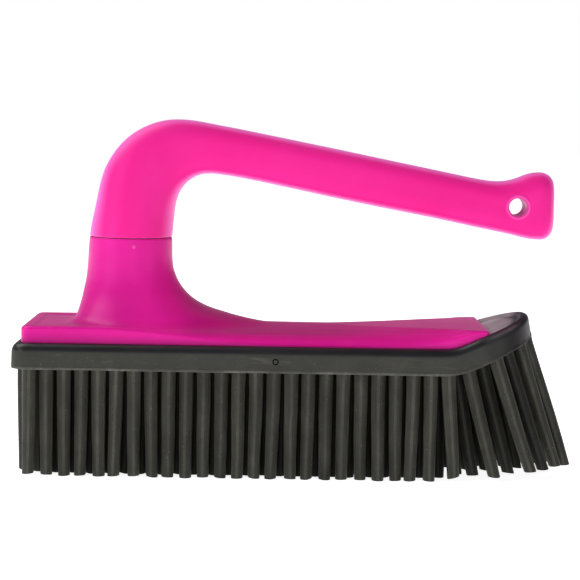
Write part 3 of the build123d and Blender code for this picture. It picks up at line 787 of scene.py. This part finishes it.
def neck_radius(angle, z):
    """Distance from the swivel axis to the neck's skin in one direction, at heights z."""
    heel, toe, half_width, heel_power, toe_power = [
        monotone(-NECK[:, 0], NECK[:, k], -z) for k in range(1, 6)]
    cos, sin = np.cos(angle), np.sin(angle)
    reach, power = (toe - SWIVEL_X, toe_power) if cos >= 0 else (SWIVEL_X - heel, heel_power)
    return (np.abs(cos / reach) ** power + np.abs(sin / half_width) ** power) ** (-1.0 / power)


def plate_height(x, y):
    """Height of the plate's top skin, before the neck is added."""
    flat, edge = curve(TOP_WIDTH, x), curve(EDGE_Z, x)
    off_axis = np.sqrt(y * y + 0.9 ** 2) - 0.9
    down = np.maximum((off_axis - flat) / np.maximum(PLATE_HALF - flat, 0.8), 0)
    blend = 0.035
    down = np.where(down < blend, down * down / (2 * blend), down - blend / 2)
    down = np.minimum(down, 1.0)
    # the waist is crowned, the facets at the toe are flat
    bow = smooth01((x + 92.0) / 40.0) * smooth01((80.0 - x) / 46.0)
    fall = down * (1 - bow) + bow * (0.45 * down + 0.55 * down ** 2.2)
    height = PLATE_TOP - (PLATE_TOP - edge) * fall
    # plain shallow panel at the heel
    panel_x = smooth01((x + 115.4) / 0.7) * smooth01((-101.6 - x) / 0.7)
    panel_y = smooth01((25.4 - np.abs(y)) / 0.7)
    return height - 0.35 * panel_x * panel_y + 0.85 * smooth01((x - 25.0) / 60.0)


def toe_rise(x):
    return np.maximum(0, x - TOE_RISE_X) * math.tan(TOE_ANGLE)


def plate_underside(x):
    return HEAD_Z + toe_rise(x) + 4.6


def plate_outline():
    """Outline of the plate, going round from the middle of the heel."""
    heel, toe, half, big, small = PLATE_HEEL, PLATE_TOE, PLATE_HALF, HEEL_CORNER, TOE_CORNER
    outline = Outline(spacing=1.25)
    outline.line((heel, 0), (heel, -half + big), (-1, 0))
    outline.arc((heel + big, -half + big), big, 180, 270, 7)
    outline.line((heel + big, -half), (toe - small, -half), (0, -1))
    outline.arc((toe - small, -half + small), small, 270, 360, 6)
    outline.line((toe, -half + small), (toe, half - small), (1, 0))
    outline.arc((toe - small, half - small), small, 0, 90, 6)
    outline.line((toe - small, half), (heel + big, half), (0, 1))
    outline.arc((heel + big, half - big), big, 90, 180, 7)
    outline.line((heel, half - big), (heel, 0), (-1, 0))
    return outline.arrays()


def soften(values):
    pad = len(BELL) // 2
    extended = np.concatenate([2 * values[0] - values[1:pad + 1][::-1], values,
                               2 * values[-1] - values[-pad - 1:-1][::-1]])
    return np.convolve(extended, BELL, "valid")


def ray_profile(angle, reach):
    """Radii and heights of the skin down the neck and out over the plate, in one direction."""
    cos, sin = math.cos(angle), math.sin(angle)
    radius = np.maximum.accumulate(neck_radius(angle, NECK_LEVELS))
    # follow the neck down until the plate's own surface is higher
    plate = plate_height(SWIVEL_X + radius * cos, radius * sin)
    free = (NECK_LEVELS > plate) & (radius < reach)
    count = len(free) if free.all() else int(np.argmin(free))
    meets = count < len(free) and radius[count] < reach
    last = count - 1
    if meets:
        above, below = NECK_LEVELS[last] - plate[last], NECK_LEVELS[count] - plate[count]
        share = above / max(above - below, 1e-6)
        start = radius[last] + (radius[count] - radius[last]) * share
    else:
        start = min(radius[last] + 0.05, reach - 0.05)
    plate_r = np.linspace(start, reach, max(8, int((reach - start) / 0.7)))
    if meets:
        plate_z = plate_height(SWIVEL_X + plate_r * cos, plate_r * sin)
    else:
        plate_z = np.full(len(plate_r), NECK_LEVELS[last])
    all_r = np.concatenate([radius[:count], plate_r])
    all_z = np.concatenate([NECK_LEVELS[:count], plate_z])
    # resample finely, soften the neck's foot, resample to the row count
    length = path_length(all_r, all_z, 1e-6)
    fine = np.arange(0, length[-1], RAY_STEP)
    fine_r, fine_z = np.interp(fine, length, all_r), np.interp(fine, length, all_z)
    foot = np.exp(-((fine - length[last]) / 5.5) ** 2)
    fine_r = fine_r * (1 - foot) + soften(fine_r) * foot
    fine_z = fine_z * (1 - foot) + soften(fine_z) * foot
    fine_r[-1] = reach
    length = path_length(fine_r, fine_z, 1e-6)
    even = np.linspace(0, length[-1], RAY_ROWS)
    return np.interp(even, length, fine_r), np.interp(even, length, fine_z)


def skin_rows(inner):
    """Rows of the skin from the neck's top out to the inner line of the plate's edge."""
    angle = np.arctan2(inner[:, 1], inner[:, 0] - SWIVEL_X)
    reach = np.hypot(inner[:, 0] - SWIVEL_X, inner[:, 1])
    rows = np.zeros((RAY_ROWS, len(inner), 3))
    for i in range(len(inner)):
        radius, z = ray_profile(angle[i], reach[i])
        rows[:, i, 0] = SWIVEL_X + radius * math.cos(angle[i])
        rows[:, i, 1] = radius * math.sin(angle[i])
        rows[:, i, 2] = z
    # even out small differences between neighbouring rays
    for _ in range(2):
        z = rows[:, :, 2]
        rows[3:-1, :, 2] = (0.5 * z + 0.25 * (np.roll(z, 1, 1) + np.roll(z, -1, 1)))[3:-1]
    return rows, angle


def neck_rings(build, top, angle):
    """Socket and lip of the neck, closed at the socket's floor."""
    cos, sin = np.cos(angle), np.sin(angle)
    top_r = np.hypot(top[:, 0] - SWIVEL_X, top[:, 1])
    profile = list(SOCKET)
    for turn in np.radians(np.linspace(0, 90, 5)):
        profile.append((top_r - NECK_LIP * (1 - math.cos(turn)),
                        NECK_TOP - NECK_LIP * (1 - math.sin(turn))))
    rings = [build.add_xyz(SWIVEL_X + r * cos, r * sin, z) for r, z in profile]
    build.fan(rings[0], (SWIVEL_X, 0, SOCKET[0][1]), flip=True)
    return rings


def edge_rings(build, outline, normal, inner, edge_r, top_z):
    """Rounding of the plate's edge, starting at the skin's slope, then the side wall."""
    drop_r = 0.85 * np.minimum(edge_r, 1.7 + 0.62 * edge_r)
    ahead = inner + 0.5 * normal
    slope = (plate_height(*inner.T) - plate_height(*ahead.T)) / 0.5
    ratio = np.clip(slope, 0, 0.5) * edge_r / drop_r
    sin0 = np.clip(ratio / (1 - np.minimum(ratio, 0.6)), 0, 0.6)
    cos0 = np.sqrt(1 - sin0 ** 2)
    turn0 = np.arcsin(sin0)
    rings = []
    for t in np.linspace(0, 1, 15)[1:]:
        turn = turn0 + (pi / 2 - turn0) * t
        inset = edge_r * (1 - (np.sin(turn) - sin0) / (1 - sin0))
        drop = drop_r * (cos0 - np.cos(turn)) / cos0
        x, y = (outline - normal * inset[:, None]).T
        rings.append(build.add_xyz(x, y, top_z - drop))
    for t in (0.08, 0.16, 0.25, 0.35, 0.5, 0.75, 1.0):
        z = (top_z - drop_r) * (1 - t) + plate_underside(outline[:, 0]) * t
        rings.append(build.add_xyz(outline[:, 0], outline[:, 1], z))
    return rings


def neck_pip(build):
    """Small round pip on the near side of the neck."""
    x, y, z = PIP
    angle = round_angles(16)
    rings = []
    for turn in np.radians(np.linspace(8, 100, 7)):
        radius = PIP_R * math.sin(turn)
        rings.append(build.add_xyz(x + radius * np.cos(angle), y - PIP_HEIGHT * math.cos(turn),
                                   z + radius * np.sin(angle)))
    build.grid(rings, flip=True)
    build.fan(rings[0], (x, y - 0.425, z))
    build.fan(rings[-1], (x, y + 0.2, z), flip=True)
    return rings


def base_tones(build, outline, normal, last_skin, side, pip):
    """Vertex values: "painted_vertex_light", a painted highlight on the toe edge and the pip;
    "low", painted shade in the hollows, down the side wall and at the back of the neck.
    """
    painted_vertex_light, low = np.zeros(build.count), np.zeros(build.count)
    # painted highlight along the rounding of the toe edge
    for t, ids in zip(np.linspace(0, 1, 15), [last_skin] + side[:14]):
        pale = 0.45 + 0.28 * math.sin(pi * min(1.0, t * 1.4))
        painted_vertex_light[ids] = pale * smooth01((normal[:, 0] - 0.5) / 0.4)
    # painted highlight on the pip
    for ids in pip:
        painted_vertex_light[ids] = 0.45
    x, _, z = np.concatenate(build.points).T
    # painted shade down the back of the neck, but not on the side wall
    back = 0.34 * smooth01((-64.0 - x) / 14.0) * smooth01((106.0 - z) / 26.0)
    # painted shade: the wall darkens down towards the bead it stands behind
    top, bottom = curve(DARK_TOP, outline[:, 0]), 58.0 + toe_rise(outline[:, 0])
    for ids in side:
        low[ids] = np.clip((top - z[ids]) / np.maximum(top - bottom, 1.0), 0, 1)
        back[ids] = 0.0
    # painted shade in the hollow of the flare and along the top
    hollow_shade = 0.66 * smooth01((x + 56.0) / 16.0) * smooth01((48.0 - x) / 34.0) \
        * smooth01((92.0 - z) / 14.0) * smooth01((z - 60.0) / 4.0)
    return {"painted_vertex_light": painted_vertex_light, "low": np.maximum(low, np.maximum(hollow_shade, back))}


def base_moulding():
    build = Build()
    outline, normal = plate_outline()
    edge_r = curve(EDGE_R, outline[:, 0])
    inner = outline - normal * edge_r[:, None]
    rows, angle = skin_rows(inner)
    neck = neck_rings(build, rows[0], angle)
    skin = [build.add(row) for row in rows]
    side = edge_rings(build, outline, normal, inner, edge_r, rows[-1][:, 2])
    build.grid(neck + skin + side)
    build.fill(side[-1], outline, lambda x, y: (x, y, plate_underside(x)), 9.0, flip=True)
    pip = neck_pip(build)
    tones = base_tones(build, outline, normal, skin[-1], side, pip)
    return build.object("base_and_neck", [MAT_BASE], attributes=tones)


register(base_moulding(), "base_moulding", "base")

# ------------------------------------------------------------------ rubber head: bead, skirt, web
# Head coordinates: U along the underside, which bends up at the toe; V across; W above it.
HEAD_HEEL, HEAD_HALF, HEAD_CORNER = -124.6, 37.5, 7.0
NOSE_LEN, TIP_U = 26.3, 112.4     # the toe's outline is half an ellipse
NOSE_U = TIP_U - NOSE_LEN
CREST = 11.5                      # top of the bead
SKIRT_TOP = 7.2
BEAD_R = 3.5
POCKET_W = 4.1                    # floor of the pocket the plate sits in
WEB_STEPS = (0.05, 0.11, 0.18, 0.27, 0.37, 0.47, 0.57, 0.66, 0.74, 0.80, 0.85, 0.89, 0.92,
             0.945, 0.97, 1.0)
VENT_X, VENT_Z = -7.4, 51.5
# round mark on the skirt: radius, depth inwards (+Y)
VENT = ((1.50, 0.13), (1.40, -0.06), (1.26, -0.20), (1.02, -0.21), (0.84, -0.06), (0.74, 0.04),
        (0.62, 0.02), (0.35, -0.02))

SPINE_U = np.linspace(HEAD_HEEL - 2, 130, 2600)
SPINE_ANGLE = TOE_ANGLE * smooth01((SPINE_U - 64.5) / 20.0)


def along_spine(slope):
    means = 0.5 * (slope[1:] + slope[:-1])
    return np.concatenate([[0], np.cumsum(means * np.diff(SPINE_U))])


SPINE_X = along_spine(np.cos(SPINE_ANGLE)) + HEAD_HEEL - 2
SPINE_Z = along_spine(np.sin(SPINE_ANGLE)) + HEAD_Z


def head_point(u, v, w):
    """Head coordinates to the object's own."""
    u, v, w = np.broadcast_arrays(*(np.asarray(k, float) for k in (u, v, w)))
    lean = np.interp(u, SPINE_U, SPINE_ANGLE) * (1 - 0.62 * smooth01((u - 88.0) / 22.0))
    return np.stack([np.interp(u, SPINE_U, SPINE_X) - w * np.sin(lean), v,
                     np.interp(u, SPINE_U, SPINE_Z) + w * np.cos(lean)], -1)


def along_at(x, w):
    """U of the point at height w that lies at x."""
    u = np.linspace(60, 116, 1400)
    return float(np.interp(x, head_point(u, 0, w)[:, 0], u))


def head_outline():
    """Outline of the head in U and V, going round from the middle of the heel."""
    heel, half, corner = HEAD_HEEL, HEAD_HALF, HEAD_CORNER
    outline = Outline(spacing=1.6)
    outline.line((heel, 0), (heel, -half + corner), (-1, 0))
    outline.arc((heel + corner, -half + corner), corner, 180, 270, 12)
    outline.line((heel + corner, -half), (NOSE_U, -half), (0, -1))
    angle = np.linspace(-pi / 2, pi / 2, 1201)
    length = path_length(NOSE_U + NOSE_LEN * np.cos(angle), half * np.sin(angle))
    count = 84
    for i in range(count):
        turn = np.interp(length[-1] * i / count, length, angle)
        cos, sin = math.cos(turn), math.sin(turn)
        outline.points.append((NOSE_U + NOSE_LEN * cos, half * sin))
        normal = np.array([cos / NOSE_LEN, sin / half])
        outline.normals.append(tuple(normal / np.linalg.norm(normal)))
    outline.line((NOSE_U, half), (heel + corner, half), (0, 1))
    outline.arc((heel + corner, half - corner), corner, 90, 180, 12)
    outline.line((heel, half - corner), (heel, 0), (-1, 0))
    return outline.arrays()


def vent_mark(build):
    """Round mark on the near side of the skirt, with painted shade on its outer rings; returns
    its rings.
    """
    angle = round_angles(28)
    rings = [build.add_xyz(VENT_X + r * np.cos(angle), -HEAD_HALF - 0.07 + deep,
                           VENT_Z + r * np.sin(angle)) for r, deep in VENT]
    # the outer rings take the near-black bristle rubber: painted shade, as if of a recess
    build.grid(rings[:5], mat=2)
    build.grid(rings[4:])
    build.fan(rings[-1], (VENT_X, -HEAD_HALF - 0.13, VENT_Z))
    return rings


def rubber_head():
    build = Build()
    rng = np.random.RandomState(5)
    plan, normal = head_outline()
    count = len(plan)
    plan_u, plan_v = plan.T
    crest = CREST - 1.1 * smooth01((plan_u - 88) / 22)
    # a slightly uneven parting flash along the skirt's lower edge
    flash = 0.30 + 0.14 * neighbour_mean(rng.normal(0, 1, count))
    sag_at = np.arange(0, count + 12, 12)
    sag = 0.10 * np.interp(np.arange(count), sag_at, rng.normal(0, 1, len(sag_at)))
    # painted highlight on the near side of the bead at the toe, and painted reflection, pale grey,
    # on the far side of the bead and the web
    near_highlight = smooth01((plan_u - 88.0) / 8.0) * smooth01((110.0 - plan_u) / 8.0) * (plan_v < 0)
    far_reflection = smooth01((plan_u - 86.0) / 5.0) * smooth01((plan_v - 4.0) / 10.0)
    # painted shade: the skirt and its flash darken towards the toe, carried in the bead value
    toe_shade = 0.45 * smooth01((plan_u - 62.0) / 25.0) + 0.43 * smooth01((plan_u - 86.0) / 18.0)
    rings = []    # vertices, bead and painted shade value, painted reflection value, material

    def offset(out):
        return plan + normal * np.broadcast_to(out, count)[:, None]

    def outer_ring(out, w, mat=0, bead_and_shade=0.0, reflection_share=0.0):
        ids = build.add(head_point(*offset(out).T, w))
        rings.append((ids, np.maximum(bead_and_shade, toe_shade), reflection_share, mat))

    outer_ring(-4.2, 0.75)
    outer_ring(-2.7, 0.65)
    outer_ring(-2.2, 0.35)
    outer_ring(-1.8, 0.05)
    outer_ring(-1.0, 0.0)
    outer_ring(0.0, sag)
    outer_ring(flash * 0.8, 0.08 + sag, mat=1)
    outer_ring(flash, 0.32 + sag, mat=1)
    outer_ring(flash * 0.75, 0.58 + sag, mat=1)
    outer_ring(0.16, 0.95 + sag * 0.6, mat=1)
    for t in np.linspace(0, 1, 6)[1:]:
        outer_ring(0.16 * (1 - t), 0.95 + 6.25 * t)
    for degrees in np.linspace(0, 90, 12)[1:]:
        turn = math.radians(degrees)
        near = 0.22 * math.exp(-((degrees - 38.0) / 16.0) ** 2) * near_highlight
        outer_ring(-BEAD_R * (1 - math.cos(turn)),
                   SKIRT_TOP + (crest - SKIRT_TOP) * math.sin(turn),
                   bead_and_shade=smooth01((degrees - 3) / 14),
                   reflection_share=np.maximum(near, smooth01((degrees - 45) / 20) * far_reflection))
    outer_ring(-3.85, crest - 0.07, bead_and_shade=1.0, reflection_share=0.55 * far_reflection)
    outer_ring(-4.08, crest - 0.32, bead_and_shade=1.0, reflection_share=0.60 * far_reflection)

    # inside: down beside the plate, and over the web at the toe
    wall = offset(-4.1)
    toe = head_point(*wall.T, crest)[:, 0] > PLATE_TOE - 0.6

    def inner_ring(toe_points, side_w, bead_and_shade=1.0, reflection_share=0.0):
        points = head_point(*wall.T, side_w)
        points[toe] = toe_points
        bead_and_shade = np.maximum(np.where(toe, bead_and_shade, 1.0), 0.10)
        rings.append((build.add(points), bead_and_shade, np.where(toe, reflection_share, 0.0), 0))

    toe_crest = crest[toe]
    start_u, start_v = offset(-5.6)[toe].T
    inner_ring(head_point(*offset(-4.7)[toe].T, toe_crest - 0.85), 10.9, reflection_share=0.60 * far_reflection)
    inner_ring(head_point(start_u, start_v, toe_crest - 1.15), 10.2, reflection_share=0.60 * far_reflection)
    # the web ends against the plate's toe, spread over its width
    end_half = PLATE_HALF - 0.2
    end_v = np.clip(start_v * end_half / abs(start_v[0]), -end_half, end_half)
    end_w = CREST - 4.6
    end_u = along_at(PLATE_TOE + 0.05, end_w)
    for t in WEB_STEPS:
        u = start_u * (1 - t) + end_u * t
        v = start_v * (1 - t) + end_v * t
        near = smooth01((u - end_u) / 2.6)
        crown = 0.75 * np.sin(pi * min(1.0, t * 1.15)) * smooth01((start_u - end_u - 3) / 8.0)
        w = (toe_crest - 1.25 + crown) * near + end_w * (1 - near)
        w = np.where(np.abs(start_u - end_u) < 2.6,
                     (toe_crest - 1.25) * (1 - t) + end_w * t, w)
        middle = float(smooth01((t - 0.02) / 0.2) * smooth01((0.93 - t) / 0.10))
        inner_ring(head_point(u, v, w), 10.2 - 3.0 * t, bead_and_shade=1.0 - middle, reflection_share=middle)
    low_u = along_at(PLATE_TOE - 1.2, end_w - 1.0)
    inner_ring(head_point(low_u, end_v * 0.995, end_w - 1.0), 6.6)
    floor_u = along_at(PLATE_TOE - 1.2, POCKET_W)
    inner_ring(head_point(floor_u, end_v * 0.99, POCKET_W), POCKET_W)
    for first, second in zip(rings[:-1], rings[1:]):
        build.strip(first[0], second[0], closed=True, mat=second[3])

    # pocket floor and underside
    floor_plan = wall.copy()
    floor_plan[toe, 0] = floor_u
    floor_plan[toe, 1] = end_v * 0.99
    build.fill(rings[-1][0], floor_plan, lambda u, v: tuple(head_point(u, v, POCKET_W)), 6.0)
    build.fill(rings[0][0], offset(-4.2), lambda u, v: tuple(head_point(u, v, 0.75)), 5.0,
               flip=True)
    vent = vent_mark(build)
    bead_and_shade_value, painted_reflection = np.zeros(build.count), np.zeros(build.count)
    for ids, bead_and_shade, reflection_share, _ in rings:
        bead_and_shade_value[ids] = bead_and_shade
        painted_reflection[ids] = reflection_share
    # painted shade: the vent mark's outer rings are also set to black
    for ids in vent[:4]:
        bead_and_shade_value[ids] = 1.0
    return build.object("rubber_head_skin", [MAT_RUBBER, MAT_FLASH, MAT_BRISTLE],
                        attributes={"bead_and_shade": bead_and_shade_value, "painted_reflection": painted_reflection})


register(rubber_head(), "rubber_head", "base")

# ------------------------------------------------------------------ bristles
PITCH_X, PITCH_Y, FIRST_X, BEND_X = 7.745, 8.0, -116.6, 74.0
TIP_MIN = 0.12           # least height of a bristle's tip above the floor
CUT_MIN = 0.02           # least height of its cut end
# x, height of the bristle tips above the floor
TIP_Z = [(-125, 1.2), (-117, 0.9), (-105, 0.45), (-92, 0.0), (-60, 0.0), (0, 0.0), (62, 0.0),
         (69.3, 1.0), (78.1, 2.2), (84.3, 3.4), (89.8, 4.6), (96, 4.7), (130, 4.8)]
# root x of the bristles on the sloping toe, in even and odd rows
TOE_X = ((78.1, 89.8, 101.5), (84.3, 95.0, 105.2))
TOE_INSET = 2.6
# x, lean in degrees towards +X, for bristles not in ROW_LEAN
LEAN = [(60, 0.0), (65.4, 1.6), (69.3, 4.3), (73.15, 8.6)]
FULL_LEAN = 17.5         # lean at which the random bend is fully widened
# lean of the toe bristles, row by row: root x, degrees
ROW_LEAN = (
    {69.3: 4.2, 78.1: 14.1, 89.8: 17.2},
    {65.4: 0.7, 73.15: 10.8, 84.3: 13.8, 95.0: 18.0},
    {69.3: 7.6, 78.1: 10.9, 89.8: 14.1, 101.5: 18.5},
    {73.15: 8.8, 84.3: 12.7, 95.0: 16.9, 105.2: 19.6},
    {69.3: 4.9, 78.1: 10.6, 89.8: 13.1, 101.5: 17.1},
    {73.15: 10.5, 84.3: 15.4, 95.0: 17.5, 105.2: 20.4},
    {69.3: 6.0, 78.1: 12.8, 89.8: 16.2, 101.5: 19.0},
    {73.15: 11.5, 84.3: 14.2, 95.0: 18.5},
    {69.3: 4.5, 78.1: 14.5, 89.8: 17.5},
)
# sections down a bristle: share of its length, radius to the sharp corners
BRISTLE = ((0.0, 4.15), (0.018, 3.70), (0.05, 3.50), (0.2, 3.42), (0.4, 3.34), (0.6, 3.22),
           (0.8, 3.06), (0.94, 2.94), (0.985, 2.90))
# rings of the cut end: size, share of the last 1.5 % of the length
CUT = ((1.0, 0.0), (0.985, 0.75), (0.90, 0.95), (0.45, 1.0))
# unit section: six flats with cut corners, one corner to each side
_corner = np.radians([90 + 60 * k + cut for k in range(6) for cut in (-12.0, 12.0)])
SECTION_X, SECTION_Y = 0.945 * np.cos(_corner), 0.945 * np.sin(_corner)
SIDES = len(_corner)


def lean_of(row, x):
    for root, degrees in ROW_LEAN[row].items():
        if abs(root - x) < 0.3:
            return degrees
    return float(curve(LEAN, x))


def tip_of(x):
    return float(curve(TIP_Z, x)) - LIFT


def bristle_roots():
    """(row, place along it, root x, y, z, lean in degrees, tip z) of every bristle."""
    roots = []
    for row in range(9):
        odd = row % 2
        y = (row - 4) * PITCH_Y
        count = 25 + odd
        first = FIRST_X - (PITCH_X / 2 if odd else 0.0)
        for k in range(count):
            x = first + k * PITCH_X
            shift = 1.1 if odd and k == 0 else 0.0
            roots.append((row, k, x + shift, y, HEAD_Z + 1.0, lean_of(row, x), tip_of(x)))
        for k, x in enumerate(TOE_X[odd]):
            # skip roots outside the nose's ellipse
            along = (x - BEND_X) / math.cos(TOE_ANGLE)
            past = along - (NOSE_U - BEND_X)
            if past > 0 and ((past / (NOSE_LEN - TOE_INSET)) ** 2
                             + (y / (HEAD_HALF - TOE_INSET)) ** 2) > 1:
                continue
            z = HEAD_Z + along * math.sin(TOE_ANGLE) + (1.2 if x < 99 else 0.7)
            roots.append((row, count + k, x, y, z, lean_of(row, x), tip_of(x)))
    return roots


def outer_value(edge, place, x):
    """How far a bristle stands to the outside; edge counts rows from the nearer long side."""
    # the value also sets the painted shade inside the tuft: 0 is painted near black
    if place == 0 or x > 99:
        return 1.0
    outer = {0: 1.0, 1: 0.12}.get(edge, 0.0)
    if place == 1 or x > 66:
        outer = max(outer, 0.35 if edge < 2 else 0.22)
    return outer


def add_bristle(build, rng, root, lean, tip_z, spread):
    """Adds one bristle and returns its random tone."""
    widen = lean / FULL_LEAN
    twist0 = rng.normal(0, 2.5)
    twist1 = twist0 + rng.normal(0, 4.0)
    bend_x = rng.normal(0, 0.34 + 0.45 * widen)
    bend_y = rng.normal(0, 0.30 + 0.3 * widen)
    wave = rng.normal(0, 0.10)
    size = 1 + rng.normal(0, 0.012)
    lean = math.radians(lean + rng.normal(0, 1) * spread)
    tip_z = max(tip_z + rng.normal(0, 0.26), TIP_MIN - LIFT)
    length = (root[2] - tip_z) / math.cos(lean)
    tone = float(np.clip(rng.beta(2.0, 2.4), 0, 1))
    down = np.array([math.sin(lean), 0, -math.cos(lean)])
    across = np.array([math.cos(lean), 0, math.sin(lean)])
    rows = []
    for t, radius in BRISTLE:
        twist = math.radians(twist0 + (twist1 - twist0) * t)
        cos, sin = math.cos(twist), math.sin(twist)
        x, y = radius * size * SECTION_X, radius * size * SECTION_Y
        along_x = x * cos - y * sin + bend_x * t * t + wave * math.sin(2 * pi * t)
        along_y = x * sin + y * cos + bend_y * t * t
        rows.append(np.array(root) + down * length * t + np.outer(along_x, across)
                    + np.outer(along_y, (0, 1, 0)))
    # cut end, slightly skewed and worn
    last = rows.pop()
    centre = last.mean(0)
    skew_x = rng.normal(0, 0.10) + 0.85 * math.tan(lean)
    skew_y = rng.normal(0, 0.05)
    ragged = neighbour_mean(rng.normal(0, 0.07, SIDES))
    for scale, share in CUT:
        arm = (last - centre) * scale
        drop = arm @ across * skew_x + arm[:, 1] * skew_y + ragged * scale \
            + 0.015 * length * share
        row = centre + arm + np.outer(drop, down)
        row[:, 2] = np.maximum(row[:, 2], CUT_MIN - LIFT)
        rows.append(row)
    ids = [build.add(row) for row in rows]
    for upper, lower in zip(ids[:-1], ids[1:]):
        for i in range(SIDES):
            j = (i + 1) % SIDES
            # corner strips take the paler painted-highlight rubber, flats the plain one
            build.face((upper[i], upper[j], lower[j], lower[i]), mat=1 - i % 2)
    build.fan(ids[-1], rows[-1].mean(0))
    return tone


def bristles():
    build = Build()
    rng = np.random.RandomState(11)
    tones, outers = [], []
    for row, place, x, y, z, lean, tip_z in bristle_roots():
        edge = min(row, 8 - row)
        spread = (0.4 if edge == 0 else 0.6) if lean > 1.0 and x < 103 else 0.0
        before = build.count
        tone = add_bristle(build, rng, (x, y, z), lean, tip_z, spread)
        added = build.count - before
        tones += [tone] * added
        outers += [outer_value(edge, place, x)] * added
    return build.object("rubber_bristles", [MAT_BRISTLE, MAT_CORNER_HIGHLIGHT], sharp=38,
                        attributes={"tone": tones, "outer": outers})


register(bristles(), "rubber_head", "base")

# ------------------------------------------------------------------ CAD pieces with own materials
MAT_HUB = moulded_plastic("hub_natural", shade=(0.52, 0.49, 0.42), colour=(0.60, 0.57, 0.50),
                          light=(0.68, 0.66, 0.60), rough=0.42)
MAT_WASHER = moulded_plastic("washer_acetal", shade=(0.70, 0.69, 0.64),
                             colour=(0.78, 0.77, 0.73), light=(0.86, 0.85, 0.82), rough=0.30)
MAT_RING = moulded_rubber("ring_rubber", dark=(0.020, 0.020, 0.021), mid=(0.030, 0.030, 0.031),
                          dusty=(0.050, 0.050, 0.050), rough=0.45, dust=0.2)
MAT_ZINC = metal("zinc_plated", colour=(0.66, 0.67, 0.69), rough=0.34)
MAT_SPRING = metal("spring_steel", colour=(0.42, 0.40, 0.37), rough=0.28)
for piece, material in (("swivel_hub", MAT_HUB), ("thrust_washer", MAT_WASHER),
                        ("friction_ring", MAT_RING), ("pivot_bolt", MAT_ZINC),
                        ("bolt_washer", MAT_ZINC), ("lock_nut", MAT_ZINC),
                        ("wave_washer", MAT_SPRING)):
    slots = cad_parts[piece].data.materials
    slots.clear()
    slots.append(material)

# ------------------------------------------------------------------ floor
FLOOR_RADII = (100, 200, 350, 550, 900, 1400, 2200, 4000, 9000)
FLOOR_GLOW = 0.90     # emission near the brush; 1 far away


def floor_material():
    """Pale floor that brightens outwards, and is clear when seen from below."""
    s = new_shader("pale_floor")
    tones = [(0.3, (0.84, 0.84, 0.845)), (0.7, (0.88, 0.88, 0.88))]
    s.surface(Base_Color=s.ramp(s.noise(scale=9), tones), Roughness=0.75)
    length = s.node("VectorMath", operation="LENGTH")
    s.plug(length.inputs[0], s.coord)
    glow = s.remap(length.outputs["Value"], span=(0.12, 1.1), to=(FLOOR_GLOW, 1.0), smooth=True)
    s.surface(Emission_Color=WHITE, Emission_Strength=glow)
    clear, mix = s.node("BsdfTransparent"), s.node("MixShader")
    below = s.node("NewGeometry").outputs["Backfacing"]
    for socket, source in zip(mix.inputs, (below, s.bsdf.outputs[0], clear.outputs[0])):
        s.plug(socket, source)
    s.feed(s.tree.nodes["Material Output"], Surface=mix.outputs[0])
    return s.owner


def floor_disc():
    build = Build()
    angle = round_angles(96)
    rings = [build.add_xyz(r * np.cos(angle), r * np.sin(angle), 0.0) for r in FLOOR_RADII]
    build.fan(rings[0], (0, 0, 0))
    build.grid(rings, flip=True)
    return build.object("floor", [floor_material()], lift=0.0)


floor_disc()


# ------------------------------------------------------------------ world, lights and camera
def studio_world():
    """Bright low down and dim above, stronger at -X; plain white to the camera itself."""
    world = bpy.data.worlds.new("studio")
    bpy.context.scene.world = world
    s = Shader(world, coord="Generated")
    x, y, z = s.axes()
    height = s.remap(z, span=(0.06, 0.26), to=(1.0, 0.20), smooth=True)
    depth = s.remap(y, span=(-0.2, 0.35), to=(0.46, 0.60))
    side = s.remap(x, span=(-0.9, 0.9), to=(1.20, 0.60))
    strength = s.times(s.times(height, depth), side)
    seen = s.node("LightPath").outputs["Is Camera Ray"]
    # violet tint from behind the brush
    cool = s.times(s.remap(y, span=(0.1, 0.5)), s.invert(seen))
    s.feed(s.tree.nodes["Background"], Strength=s.maths("MAXIMUM", strength, seen),
           Color=s.mix(cool, WHITE, (0.92, 0.80, 1.0)))


def softbox(name, place, aim, size, watts, mirrored=True):
    light = bpy.data.lights.new(name, "AREA")
    light.shape = "RECTANGLE"
    light.size, light.size_y = size
    light.energy = watts
    lamp = link_object(name, light)
    lamp.location = place
    lamp.visible_glossy = mirrored
    lamp.rotation_euler = (Vector(aim) - Vector(place)).to_track_quat("-Z", "Y").to_euler()


studio_world()
softbox("key_left", place=(-1.60, -1.25, 0.42), aim=(-0.03, 0.0, 0.08), size=(1.0, 1.3),
        watts=9.3)
softbox("front", place=(0.25, -2.0, 0.30), aim=(0.0, 0.0, 0.08), size=(1.1, 0.8), watts=3.7)
softbox("fill_right", place=(1.5, -1.1, 0.25), aim=(0.03, 0.0, 0.08), size=(0.6, 0.8),
        watts=2.4)
softbox("top_left", place=(-0.80, 0.10, 1.20), aim=(-0.03, 0.0, 0.06), size=(1.1, 1.1),
        watts=12.0)
softbox("top_back", place=(0.35, 0.75, 1.15), aim=(0.03, 0.0, 0.06), size=(0.9, 0.6),
        watts=3.0, mirrored=False)

camera = link_object("camera", bpy.data.cameras.new("camera"))
camera.data.sensor_width = 36.0
camera.data.lens = 127.918
camera.data.clip_start, camera.data.clip_end = 0.05, 50.0
camera.location = (-0.0081015, -0.940, 0.159479)
camera.rotation_euler = [math.radians(turn) for turn in (85.27643, -0.94997, -0.33633)]
bpy.context.scene.camera = camera
bpy.context.scene.view_settings.view_transform = "Standard"
